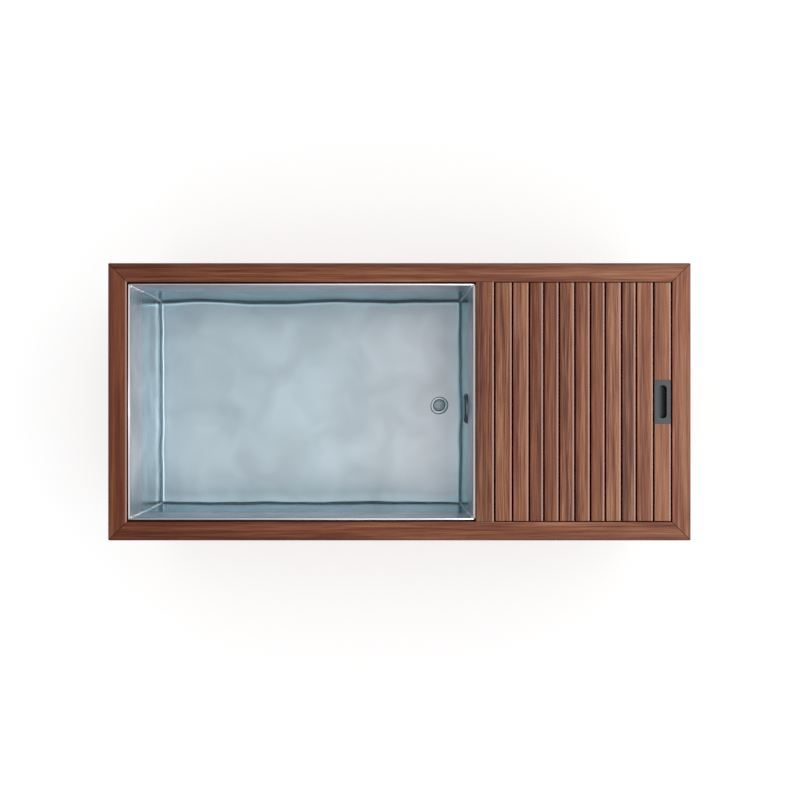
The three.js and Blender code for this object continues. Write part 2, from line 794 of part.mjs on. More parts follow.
// Sheet case, open under the fan and louvred on the two sides that draw air
function chillerCase() {
  const [x, y] = [chillerLength / 2, chillerDepth / 2];
  const shell = block([-x, x], [-y, y], [0, chillerHeight]);
  const inside = block(
    [-x + chillerWall, x - chillerWall], [-y + chillerWall, y - chillerWall],
    [chillerWall, chillerHeight - chillerWall]);
  const fanOpening = rod(fanOpeningRadius, 4 * cutOver, roundSegments);
  const cuts = [inside, fanOpening.translate(0, 0, chillerHeight - 2 * cutOver)];
  for (let i = 0; i < louvreCount; i += 1) {
    const z = louvreBottom + i * louvrePitch;
    const half = louvreLength / 2;
    cuts.push(block([-half, half], [-y - cutOver, -y + cutOver], [z, z + louvreHeight]));
    cuts.push(block([x - cutOver, x + cutOver], [-half, half], [z, z + louvreHeight]));
  }
  const spigot = () => alongX(rod(spigotRadius, spigotLength + chillerWall / 2));
  const inlet = spigot().translate(-x - spigotLength, chillerInletY, chillerInletZ);
  const outlet = spigot().translate(-x - spigotLength, chillerOutletY, chillerOutletZ);
  return join(cut(shell, ...cuts), inlet, outlet);
}

// Fan hub hangs open side up round the motor's spindle; blades slope round it
function chillerFan() {
  const hub = turned([
    [0, 0], [fanHubRadius - fanHubChamfer, 0], [fanHubRadius, fanHubChamfer],
    [fanHubRadius, fanHubHeight],
    [spindleRadius + runGap, fanHubHeight], [spindleRadius + runGap, fanHubFloor], [0, fanHubFloor],
  ]);
  const blades = [];
  const slope = THREE.MathUtils.degToRad(fanBladeAngle);
  const chord = fanBladeHeight / Math.sin(slope);
  const [footStart, footEnd] = fanBladeFoot.map((share) => [fanHubRadius - fanBladeRoot, share * chord]);
  const tip = fanBladeTip.map(([out, share]) => [fanRadius * out, chord * share]);
  for (let i = 0; i < fanBlades; i += 1) {
    const plan = outline([footStart, ...tip, footEnd]);
    const blade = prism(plan, fanBladeThickness).rotateX(slope).translate(0, 0, fanHubHeight / 2);
    blades.push(blade.rotateZ((i * 2 * Math.PI) / fanBlades));
  }
  const bore = rod(spindleRadius + runGap, fanHubHeight).translate(0, 0, fanHubFloor);
  return cut(join(hub, ...blades), bore);
}

// Motor plate under the guard with the spindle that carries the fan; its top face is Z = 0
function fanMotor() {
  const spindle = motorPlateThickness + fanHubHeight - fanHubFloor;
  return turned([
    [0, -spindle], [spindleRadius, -spindle], [spindleRadius, -motorPlateThickness],
    [motorPlateRadius, -motorPlateThickness], [motorPlateRadius, 0], [0, 0],
  ]);
}

function guardRing(radius) {
  const half = guardWire / 2;
  return turned([
    [radius - half, 0], [radius + half, 0], [radius + half, guardWire],
    [radius - half, guardWire], [radius - half, 0],
  ]);
}

function fanGuard() {
  const outerRing = guardRings[guardRings.length - 1];
  const pieces = guardRings.slice(1).map(guardRing);
  for (let i = 0; i < guardSpokes; i += 1) {
    const spoke = block(
      [guardRings[0] / 2, outerRing], [-guardWire / 2, guardWire / 2],
      [guardWire / 4, (guardWire * 3) / 4]);
    pieces.push(spoke.rotateZ((i * 2 * Math.PI) / guardSpokes));
  }
  return join(rod(guardRings[0], guardWire, roundSegments), ...pieces);
}

// Volute, suction inlet, upright outlet and foot; the axis is X and the motor face is X = 0
function pumpBody() {
  const volute = alongX(turned([
    [0, 0], [voluteRadius - voluteChamfer, 0], [voluteRadius, voluteChamfer],
    [voluteRadius, voluteLength - voluteTaper], [voluteRadius - voluteTaper, voluteLength],
    [0, voluteLength],
  ])).translate(-voluteLength, 0, 0);
  const inlet = alongX(turned([
    [0, 0], [pumpCollarRadius, 0], [pumpCollarRadius, pumpCollarLength], [spigotRadius, pumpCollarLength],
    [spigotRadius, pumpInletLength + pumpSpigotRoot], [0, pumpInletLength + pumpSpigotRoot],
  ])).translate(-voluteLength - pumpInletLength, 0, 0);
  const collar = pumpOutletHeight - pumpCollarLength;
  const outlet = turned([
    [0, 0], [spigotRadius, 0], [spigotRadius, collar], [pumpCollarRadius, collar],
    [pumpCollarRadius, pumpOutletHeight], [0, pumpOutletHeight],
  ]).translate(-voluteLength / 2, 0, 0);
  const foot = block(
    [-voluteLength + pumpFootInset, -pumpFootInset], [-pumpFootWidth / 2, pumpFootWidth / 2],
    [-pumpAxisHeight + seatGap, -pumpAxisHeight + pumpFootThickness]);
  const web = block(
    [-voluteLength + pumpWebInset, -pumpWebInset], [-voluteRadius / 2, voluteRadius / 2],
    [-pumpAxisHeight + pumpWebLap, 0]);
  return join(volute, inlet, outlet, foot, web);
}

// Finned motor with its fan cowl and terminal box
function pumpMotor() {
  const teeth = [];
  const halfAngle = pumpFinWidth / 2 / pumpMotorRadius;
  for (let i = 0; i < pumpFins; i += 1) {
    const angle = (i * 2 * Math.PI) / pumpFins;
    const inner = pumpMotorRadius - pumpFinDepth;
    for (const [radius, offset] of [[inner, -halfAngle], [pumpMotorRadius, -halfAngle],
      [pumpMotorRadius, halfAngle], [inner, halfAngle]]) {
      teeth.push([radius * Math.cos(angle + offset), radius * Math.sin(angle + offset)]);
    }
  }
  const finned = alongX(prism(outline(teeth), pumpMotorLength)).translate(seatGap, 0, 0);
  const cowlRadius = pumpMotorRadius + pumpCowlProud;
  const [inwards, along] = pumpCowlTaper;
  const cowl = alongX(turned([
    [0, 0], [cowlRadius, 0], [cowlRadius, pumpCowlLength - along],
    [cowlRadius - inwards, pumpCowlLength], [0, pumpCowlLength],
  ])).translate(pumpMotorLength - pumpCowlLap, 0, 0);
  const half = pumpMotorRadius * terminalHalf;
  const terminal = block(
    terminalSpan.map((share) => share * pumpMotorLength), [-half, half],
    [pumpMotorRadius - 2 * pumpFinDepth, pumpMotorRadius + terminalHeight]);
  return join(finned, cowl, terminal);
}

function filterHousing() {
  const [top, collar] = [filterHeight, filterHeight - filterCollarHeight];
  const bore = filterCollarRadius - filterCollarWall;
  const foot = filterFoot.map(([offset, height]) => [filterRadius + offset, height]);
  const vessel = turned([
    [0, 0], ...foot, [filterRadius, collar - filterCollarSlope], [filterCollarRadius, collar],
    [filterCollarRadius, top], [bore, top], [bore, collar + filterCollarFloor],
    [0, collar + filterCollarFloor],
  ]);
  const inlet = alongX(rod(spigotRadius, filterPortLength)).translate(0, 0, filterPortHeight);
  const outlet = alongY(rod(spigotRadius, filterPortLength)).translate(0, 0, filterPortHeight);
  return join(vessel, inlet, outlet);
}

// Bayonet lid that plugs into the housing's collar, with grip lugs round its edge
function filterLid() {
  const plug = filterCollarRadius - filterCollarWall - runGap;
  const crown = filterLidCrown.map(([out, up]) => [filterLidRadius * out, filterLidHeight * up]);
  const cap = turned([
    [0, -filterLidPlug], [plug, -filterLidPlug], [plug, seatGap], [filterLidRadius, seatGap],
    ...crown, [0, filterLidHeight],
  ]);
  const lugs = [];
  for (let i = 0; i < filterLugs; i += 1) {
    const lug = rod(filterLugRadius, filterLugHeight);
    lug.translate(filterLidRadius - filterLugInset, 0, filterLugInset);
    lugs.push(lug.rotateZ((i * 2 * Math.PI) / filterLugs));
  }
  return join(cap, ...lugs);
}

const controlSlope = Math.atan2(controlDeep - controlShallow, controlHeight);

// A point on the control box's sloping face: along X, share of its height, distance out of the face
function controlPoint(x, share, out) {
  const y = controlDeep - (controlDeep - controlShallow) * share + out * Math.cos(controlSlope);
  return [x, y, controlHeight * share + out * Math.sin(controlSlope)];
}

// Wedge with its back on Y = 0, a display recess and a well for the power button
function controlBox() {
  const section = outline(
    [[0, 0], [controlDeep, 0], [controlShallow, controlHeight], [0, controlHeight]]);
  const wedge = runAlongX(prism(section, controlLength), controlLength);
  const lay = (geometry, x, share) => geometry
    .rotateX(controlSlope - quarterTurn).translate(...controlPoint(x, share, 0));
  const recess = block(
    [-displayLength / 2, displayLength / 2], [-displayHeight / 2, displayHeight / 2],
    [-displayRecess, cutOver]);
  const well = rod(buttonRadius + runGap, buttonHeight + cutOver);
  well.translate(0, 0, buttonProud - buttonHeight - buttonWellSpare);
  return cut(wedge, lay(recess, displayShift, faceMiddle), lay(well, buttonShift, faceMiddle));
}

function powerButton() {
  return turned([
    [0, 0], [buttonRadius, 0], [buttonRadius, buttonHeight - buttonChamfer],
    [buttonRadius - buttonChamfer, buttonHeight], [0, buttonHeight],
  ], smallSegments);
}

function suctionTee() {
  const run = alongX(rod(teeRadius, 2 * teeHalfLength)).translate(-teeHalfLength, 0, 0);
  const branch = alongY(rod(teeRadius, teeBranch));
  return join(run, branch);
}

// Ball valve along Y from Y = 0, with its stem upwards
function drainValve() {
  const nut = (y) => alongY(turned([
    [0, 0], [valveNutRadius, 0], [valveNutRadius, valveNutLength], [0, valveNutLength],
  ], valveNutSides)).translate(0, y, 0);
  const body = alongY(rod(valveRadius, valveLength - 2 * valveBodyInset)).translate(0, valveBodyInset, 0);
  const stem = rod(stemRadius, valveRadius + stemHeight).translate(0, valveLength / 2, 0);
  return join(body, nut(0), nut(valveLength - valveNutLength), stem);
}

// Lever lying along X, hub round the stem at the origin, with a thicker grip at its end
function valveLever() {
  const hub = rod(leverHubRadius, leverThickness);
  const arm = block([0, leverLength], [-leverWidth / 2, leverWidth / 2], [0, leverThickness]);
  const gripHalf = leverWidth / 2 + leverGripProud;
  const grip = easedBox(
    [leverLength - leverGripLength, leverLength + leverGripOver], [-gripHalf, gripHalf],
    [-(leverGripThickness - leverThickness) / 2, (leverGripThickness + leverThickness) / 2],
    leverGripRadius);
  const hole = rod(stemRadius + runGap, leverThickness + 2 * cutOver).translate(0, 0, -cutOver);
  return cut(join(hub, arm, grip), hole);
}

// Pipe along Y from the valve through the back panel, with a flange on the inside and an open end
function drainOutlet(length) {
  const bore = outletRadius - outletWall;
  const inside = length - outletProud - panelThickness - seatGap;
  return alongY(turned([
    [0, 0], [outletRadius, 0], [outletRadius, inside - outletFlangeThickness],
    [outletFlangeRadius, inside - outletFlangeThickness], [outletFlangeRadius, inside],
    [outletRadius, inside], [outletRadius, length], [bore, length],
    [bore, length - outletBoreDepth], [0, length - outletBoreDepth],
  ]));
}

// Gland along X from the panel's outer face at X = 0: head outside, tail in the bay
function cableGland() {
  const tail = -panelThickness - glandTail;
  const boreEnd = glandHeadThickness - glandBoreDepth;
  const [across, along] = glandHeadBevel;
  return alongX(turned([
    [0, tail], [glandRadius, tail], [glandRadius, seatGap], [glandHeadRadius, seatGap],
    [glandHeadRadius, glandHeadThickness - along], [glandHeadRadius - across, glandHeadThickness],
    [glandBore, glandHeadThickness], [glandBore, boreEnd], [0, boreEnd],
  ], smallSegments));
}

// A hose that leaves one fitting along a direction and enters the next along another
function hose(start, startPull, endPull, end) {
  const section = [];
  for (let i = 0; i < hoseSides; i += 1) {
    const angle = (i * 2 * Math.PI) / hoseSides;
    section.push([hoseRadius * Math.cos(angle), hoseRadius * Math.sin(angle)]);
  }
  const from = new THREE.Vector3(...start);
  const to = new THREE.Vector3(...end);
  const leave = from.clone().add(new THREE.Vector3(...startPull));
  const enter = to.clone().add(new THREE.Vector3(...endPull));
  const extrudePath = new THREE.CubicBezierCurve3(from, leave, enter, to);
  const settings = { steps: hoseSteps, extrudePath, bevelEnabled: false };
  return new THREE.ExtrudeGeometry(outline(section), settings);
}

function piece(parent, name, geometry, finish, [x, y, z] = [0, 0, 0], turn = 0) {
  const mesh = new THREE.Mesh(geometry, new THREE.MeshStandardMaterial(finish));
  mesh.name = name;
  mesh.position.set(x, y, z);
  mesh.rotation.z = turn;
  parent.add(mesh);
  return mesh;
}

function group(parent, name, [x, y, z]) {
  const child = new THREE.Group();
  child.name = name;
  child.position.set(x, y, z);
  parent.add(child);
  return child;
}

function addRim(tub) {
  const [x, y] = [overallLength / 2, overallWidth / 2];
  piece(tub, "rim_front", rimBoard(overallLength), rimWood, [0, -y, rimBottom], 0);
  piece(tub, "rim_right", rimBoard(overallWidth), rimWood, [x, 0, rimBottom], quarterTurn);
  piece(tub, "rim_back", rimBoard(overallLength), rimWood, [0, y, rimBottom], 2 * quarterTurn);
  piece(tub, "rim_left", rimBoard(overallWidth), rimWood, [-x, 0, rimBottom], -quarterTurn);
  const divider = crossBoard(dividerWidth, rimThickness, rimEdgeRadius, rimInnerY - seatGap);
  piece(tub, "divider_board", divider, darkWood, [(dividerLeft + dividerRight) / 2, 0, rimBottom]);
}

function addHatch(tub) {
  const hatch = group(tub, "hatch", [pivotX, 0, pivotZ]);
  let left = hatchLeft - pivotX;
  slatWidths.forEach((width, index) => {
    const last = index === slatWidths.length - 1;
    const slat = last ? pullSlat() : crossBoard(width, slatThickness, slatEdgeRadius, slatHalfLength);
    const name = `lid_slat_${String(index + 1).padStart(2, "0")}`;
    piece(hatch, name, slat, slatWood, [left + width / 2, 0, slatBottom - pivotZ]);
    left += width + slatGap;
  });
  const pullX = hatchRight - lastSlatWidth / 2 - pivotX;
  piece(hatch, "flush_pull", flushPull(), darkAlloy, [pullX, 0, pivotDrop]);
  const bearerY = (bearerInnerY + bearerOuterY) / 2;
  piece(hatch, "lid_bearer_back", lidBearer(1), blackAlloy, [0, bearerY, 0]);
  piece(hatch, "lid_bearer_front", lidBearer(-1), blackAlloy, [0, -bearerY, 0]);
  piece(tub, "pivot_block_back", pivotBlock(1), blackPlastic, [pivotX, 0, pivotZ]);
  piece(tub, "pivot_block_front", pivotBlock(-1), blackPlastic, [pivotX, 0, pivotZ]);
  piece(tub, "rest_cleat", restCleat(), darkWood);
}

function addBasin(tub) {
  const middle = (basinLeft + basinRight) / 2;
  const [length, width] = [basinRight - basinLeft, 2 * basinHalfWidth];
  piece(tub, "basin_floor", basinFloor(), steelSheet);
  piece(tub, "basin_wall_back", basinWall(length), steelSheet, [middle, basinHalfWidth, 0], 0);
  piece(tub, "basin_wall_left", basinWall(width), steelSheet, [basinLeft, 0, 0], quarterTurn);
  piece(tub, "basin_wall_front", basinWall(length), steelSheet, [middle, -basinHalfWidth, 0], Math.PI);
  piece(tub, "basin_wall_right", returnWall(width), steelSheet, [basinRight, 0, 0], -quarterTurn);
  piece(tub, "basin_seal", basinSeal(), blackRubber);
  piece(tub, "drain_body", drainBody(), steelPart, [drainX, drainY, 0]);
  const seat = floorTop + seatGap + drainFlangeThickness - drainSeatDrop;
  piece(tub, "drain_strainer", drainStrainer(), steelPart, [drainX, drainY, seat + seatGap]);
  piece(tub, "return_body", returnBody(), greyPlastic, [basinRight, returnY, returnZ]);
  piece(tub, "return_cover", returnCover(), steelPart, [basinRight, returnY, returnZ]);
}

function addSurround(tub) {
  piece(tub, "foam_jacket", foamJacket(), foam);
  piece(tub, "bulkhead", bulkhead(), plyBoard);
  const [x, y] = [panelInnerX - seatGap, panelInnerY - seatGap];
  piece(tub, "base_board", block([-x, x], [-y, y], [baseBottom, baseTop]), plyBoard);
  piece(tub, "panel_front", boardedPanel(2 * panelOuterX), panelWood, [0, -panelOuterY, 0], 0);
  piece(tub, "panel_right", ventedPanel(), panelWood, [panelOuterX, 0, 0], quarterTurn);
  piece(tub, "panel_back", outletPanel(), panelWood, [0, panelOuterY, 0], 2 * quarterTurn);
  piece(tub, "panel_left", boardedPanel(2 * panelOuterY), panelWood, [-panelOuterX, 0, 0], -quarterTurn);
  const runnerY = panelOuterY - runnerSideInset;
  piece(tub, "runner_front", runner(), blackRubber, [0, -runnerY, 0]);
  piece(tub, "runner_back", runner(), blackRubber, [0, runnerY, 0]);
}

const chillerPlace = [
  bayRight - chillerSideGap - chillerLength / 2,
  panelInnerY - chillerBackGap - chillerDepth / 2,
  foamBottom,
];
const pumpPlace = [
  bayRight - pumpEndGap - pumpMotorLength - pumpCowlLength,
  -panelInnerY + pumpSideGap,
  baseTop + pumpAxisHeight,
];
const filterPlace = [bayLeft + filterLeftGap, -panelInnerY + filterFrontGap, foamBottom];

function addChiller(tub) {
  const chiller = group(tub, "chiller", chillerPlace);
  piece(chiller, "chiller_case", chillerCase(), coatedSteel);
  const guardZ = chillerHeight + seatGap;
  piece(chiller, "fan_guard", fanGuard(), blackPlastic, [0, 0, guardZ]);
  piece(chiller, "fan_motor", fanMotor(), blackPlastic, [0, 0, guardZ - seatGap]);
  const fanZ = guardZ - seatGap - motorPlateThickness - runGap - fanHubHeight;
  piece(chiller, "chiller_fan", chillerFan(), blackPlastic, [0, 0, fanZ]);
}

function addPumpAndFilter(tub) {
  const pump = group(tub, "pump", pumpPlace);
  piece(pump, "pump_body", pumpBody(), blackPlastic);
  piece(pump, "pump_motor", pumpMotor(), pumpBlue);
  const filter = group(tub, "filter", filterPlace);
  piece(filter, "filter_housing", filterHousing(), whitePlastic);
  piece(filter, "filter_lid", filterLid(), pumpBlue, [0, 0, filterHeight]);
}

function addControl(tub) {
  const controlX = bayRight - controlRightGap - controlLength / 2;
  const place = [controlX, -panelInnerY + seatGap, rimBottom - controlDrop - controlHeight];
  const control = group(tub, "control", place);
  piece(control, "control_box", controlBox(), whitePlastic);
  const button = powerButton().rotateX(controlSlope - quarterTurn);
  const buttonPlace = controlPoint(buttonShift, faceMiddle, buttonProud - buttonHeight);
  piece(control, "power_button", button, blackPlastic, buttonPlace);
}

function addDrainLine(tub) {
  piece(tub, "suction_tee", suctionTee(), whitePlastic, [teeX, drainY, pipeZ]);
  const valveY = drainY + teeBranch + seatGap;
  piece(tub, "drain_valve", drainValve(), steelPart, [teeX, valveY, pipeZ]);
  const leverZ = pipeZ + valveNutRadius + runGap + (leverGripThickness - leverThickness) / 2;
  piece(tub, "valve_lever", valveLever(), redGrip, [teeX, valveY + valveLength / 2, leverZ]);
  const start = valveY + valveLength + seatGap;
  const outlet = drainOutlet(panelOuterY + outletProud - start);
  piece(tub, "drain_outlet", outlet, steelPart, [teeX, start, pipeZ]);
  piece(tub, "cable_gland", cableGland(), blackPlastic, [panelOuterX, glandShift, glandHeight]);
}

function addHoses(tub) {
  const pumpInX = pumpPlace[0] - voluteLength - pumpInletLength - seatGap;
  const tee = [teeX + teeHalfLength + seatGap, drainY, pipeZ];
  const pumpIn = [pumpInX, pumpPlace[1], pumpPlace[2]];
  const suction = hose(tee, [hoseReach, 0, 0], [-suctionEndReach, 0, 0], pumpIn);
  piece(tub, "suction_hose", suction, clearHose);

  const pumpTop = pumpPlace[2] + pumpOutletHeight + seatGap;
  const pumpOut = [pumpPlace[0] - voluteLength / 2, pumpPlace[1], pumpTop];
  const portZ = filterPlace[2] + filterPortHeight;
  const port = filterPortLength + seatGap;
  const filterIn = [filterPlace[0] + port, filterPlace[1], portZ];
  const pressure = hose(pumpOut, [0, 0, portZ - pumpTop], [pressureEndReach, 0, 0], filterIn);
  piece(tub, "pressure_hose", pressure, clearHose);

  const caseLeft = chillerPlace[0] - chillerLength / 2 - spigotLength - seatGap;
  const filterOut = [filterPlace[0], filterPlace[1] + port, portZ];
  const chillerIn = [caseLeft, chillerPlace[1] + chillerInletY, chillerPlace[2] + chillerInletZ];
  const toChiller = hose(filterOut, [0, filterStartReach, 0], [-hoseReach, 0, 0], chillerIn);
  piece(tub, "filter_hose", toChiller, clearHose);

  const chillerOut = [caseLeft, chillerPlace[1] + chillerOutletY, chillerPlace[2] + chillerOutletZ];
  const tail = [bayLeft + seatGap + returnTailLength + seatGap, returnY, returnZ];
  const back = hose(chillerOut, [-hoseReach, 0, 0], [hoseReach, 0, 0], tail);
  piece(tub, "return_hose", back, clearHose);
}

function buildTub() {
  const tub = new THREE.Group();
  tub.name = "cold_plunge_tub";
  addRim(tub);
  addHatch(tub);
  addBasin(tub);
  addSurround(tub);
  addChiller(tub);
  addPumpAndFilter(tub);
  addControl(tub);
  addDrainLine(tub);
  addHoses(tub);
  return tub;
}

export default buildTub();
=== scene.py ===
import json
import math
import random
from functools import partial

import bmesh
import bpy
from mathutils import Matrix, Vector


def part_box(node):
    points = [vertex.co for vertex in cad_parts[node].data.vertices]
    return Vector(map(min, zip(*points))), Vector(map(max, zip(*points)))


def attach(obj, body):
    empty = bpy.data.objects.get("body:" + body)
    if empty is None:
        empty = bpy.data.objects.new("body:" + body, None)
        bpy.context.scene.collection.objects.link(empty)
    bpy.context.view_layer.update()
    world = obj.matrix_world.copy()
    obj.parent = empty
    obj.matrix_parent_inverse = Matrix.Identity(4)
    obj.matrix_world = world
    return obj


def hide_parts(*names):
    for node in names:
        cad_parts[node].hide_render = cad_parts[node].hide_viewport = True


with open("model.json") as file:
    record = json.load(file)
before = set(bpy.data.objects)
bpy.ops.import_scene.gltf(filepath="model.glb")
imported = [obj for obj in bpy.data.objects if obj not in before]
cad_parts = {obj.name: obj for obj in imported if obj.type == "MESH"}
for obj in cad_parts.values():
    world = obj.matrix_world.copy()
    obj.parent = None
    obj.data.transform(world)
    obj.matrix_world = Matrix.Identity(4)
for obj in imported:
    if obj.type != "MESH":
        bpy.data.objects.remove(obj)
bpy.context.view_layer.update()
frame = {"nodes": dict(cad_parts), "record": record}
nodes = frame["nodes"]
scene = bpy.context.scene
scene.view_settings.view_transform = "Standard"
print("frame loaded,", len(nodes), "nodes")

# camera straight above the tub, as in the photograph
cameraView = {
    "place": (-0.0778, -0.0134, 4.061),
    "lens": 41.97,
    "shift": (0.02775, 0.00687),
}
cameraData = bpy.data.cameras.new("overheadCamera")
cameraData.lens = cameraView["lens"]
cameraData.shift_x, cameraData.shift_y = cameraView["shift"]
camera = bpy.data.objects.new("overheadCamera", cameraData)
camera.location = cameraView["place"]
scene.collection.objects.link(camera)
scene.camera = camera
print("camera set")


def hexColour(text):
    channels = [int(text[i:i + 2], 16) / 255 for i in (1, 3, 5)]
    linear = [c / 12.92 if c <= 0.04045 else ((c + 0.055) / 1.055) ** 2.4 for c in channels]
    return (*linear, 1.0)


# joins sockets, or the first outputs in use of nodes, to a node's inputs
def join(node, links):
    for key, source in links.items():
        outputs = [s for s in getattr(source, "outputs", [source]) if s.enabled]
        node.id_data.links.new(outputs[0], node.inputs[key])


# adds one node, of a kind like "Math MULTIPLY" where it has operations
# settings are its properties or unlinked sockets, links come from sockets or other nodes
def addNode(tree, kind, settings=None, links=None):
    kind, *operation = kind.split()
    node = tree.nodes.new("ShaderNode" + kind)
    if operation:
        node.operation = operation[0]
    for key, value in (settings or {}).items():
        if isinstance(key, int) or key in node.inputs:
            node.inputs[key].default_value = value
        else:
            setattr(node, key, value)
    join(node, links or {})
    return node


# empties the node tree of a material or world, and gives the function that adds nodes to it
def emptyTree(owner):
    owner.use_nodes = True
    owner.node_tree.nodes.clear()
    return partial(addNode, owner.node_tree)


# settings that many nodes share: one colour over another, colours multiplied, limits of a map range
blend = {"data_type": "RGBA"}
multiply = {"data_type": "RGBA", "blend_type": "MULTIPLY", 0: 1.0}


def limits(low, high, toLow=0.0, toHigh=1.0):
    return {"From Min": low, "From Max": high, "To Min": toLow, "To Max": toHigh}


def newMaterial(name, settings):
    material = bpy.data.materials.new(name)
    add = emptyTree(material)
    shader = add("BsdfPrincipled", settings)
    add("OutputMaterial", None, {"Surface": shader})
    return material, add, shader


def setRamp(node, stops):
    stops = list(stops)
    elements = node.color_ramp.elements
    while len(elements) < len(stops):
        elements.new(0.5)
    for element, (place, colour) in zip(elements, stops):
        element.position = place
        element.color = colour


# ramp stops a little darker and a little lighter than a colour
def shadeStops(colour, change):
    base = hexColour(colour)[:3]
    sides = ((0.3, 1 - change), (0.7, 1 + change))
    return [(place, (*(min(1.0, c * share) for c in base), 1.0)) for place, share in sides]


def grey(value):
    return (value, value, value, 1.0)


def scaledBy(add, source, size):
    return add("VectorMath MULTIPLY", {1: tuple(1 / s for s in size)}, {0: source})


# tints a colour along axes of the part; each drift is (axis, in full here, not at all here, tint)
def drifted(add, colour, parts, drifts):
    for axis, full, none, tint in drifts:
        share = add("MapRange", limits(none, full), {"Value": parts.outputs[axis]})
        colour = add("Mix", {**multiply, 7: (*tint, 1.0)}, {0: share, 6: colour})
    return colour


# walnut, planed and oiled: satin red-brown, straight soft streaks along the board, fine open pores
walnut = {
    "tones": ((0.24, "#5b3022"), (0.44, "#7c4935"), (0.60, "#935d45"), (0.80, "#a8755a")),
    "sway": (0.50, 0.090, 0.010),  # bends of the grain: length along the board, width across it and reach
    "sizes": {  # metres along the board, then across it
        "broad": (1.10, 0.026),
        "streak": (0.42, 0.0075),  # as wide as the streaks that the photograph shows
        "line": (0.15, 0.0034),  # drawn coarser than real growth lines, so that they show
        "fibre": (0.070, 0.0014),
        "pore": (0.009, 0.0009),
    },
    "shares": (0.75, 0.65, 0.62, 0.30),  # of broad bands, streaks, lines and fibres in the tone
    "boardSpread": 0.26,  # how far the boards of one panel differ in tone
    "poreShade": (0.30, 0.40, 0.78, 1.0),  # noise levels of a pore, and the shades that they give
    "boardSeed": 40,
    "panelSeed": 90,
    "hues": ((0.35, (0.95, 1.0, 1.12)), (0.65, (1.05, 1.0, 0.90))),  # cool to warm
    "gapSideShade": "#731404",  # painted shade: sides of the slats, seen down in the gaps, darkened as the gaps lie in shade
    "openSideShade": "#43180d",  # painted shade, lighter: sides of other boards, which more light reaches
    "sideTurn": (0.86, 0.97),  # how far a face is turned to the side where the painted shade begins, and is full
    # painted highlight: the right-hand eased edge is lightened, as a light on the right would light it
    "edgeHighlightColour": "#b78f82",
    "edgeHighlightReach": (0.0074, 0.0044),  # the painted highlight fades in between these distances from the right-hand edge
    "glueReach": 0.0021,
    "glueStain": (0.34, 0.28, 0.26),
    "roughness": (0.58, 0.42),
    "sheen": 0.24,
    "relief": {"Strength": 0.30, "Distance": 0.0004},
}
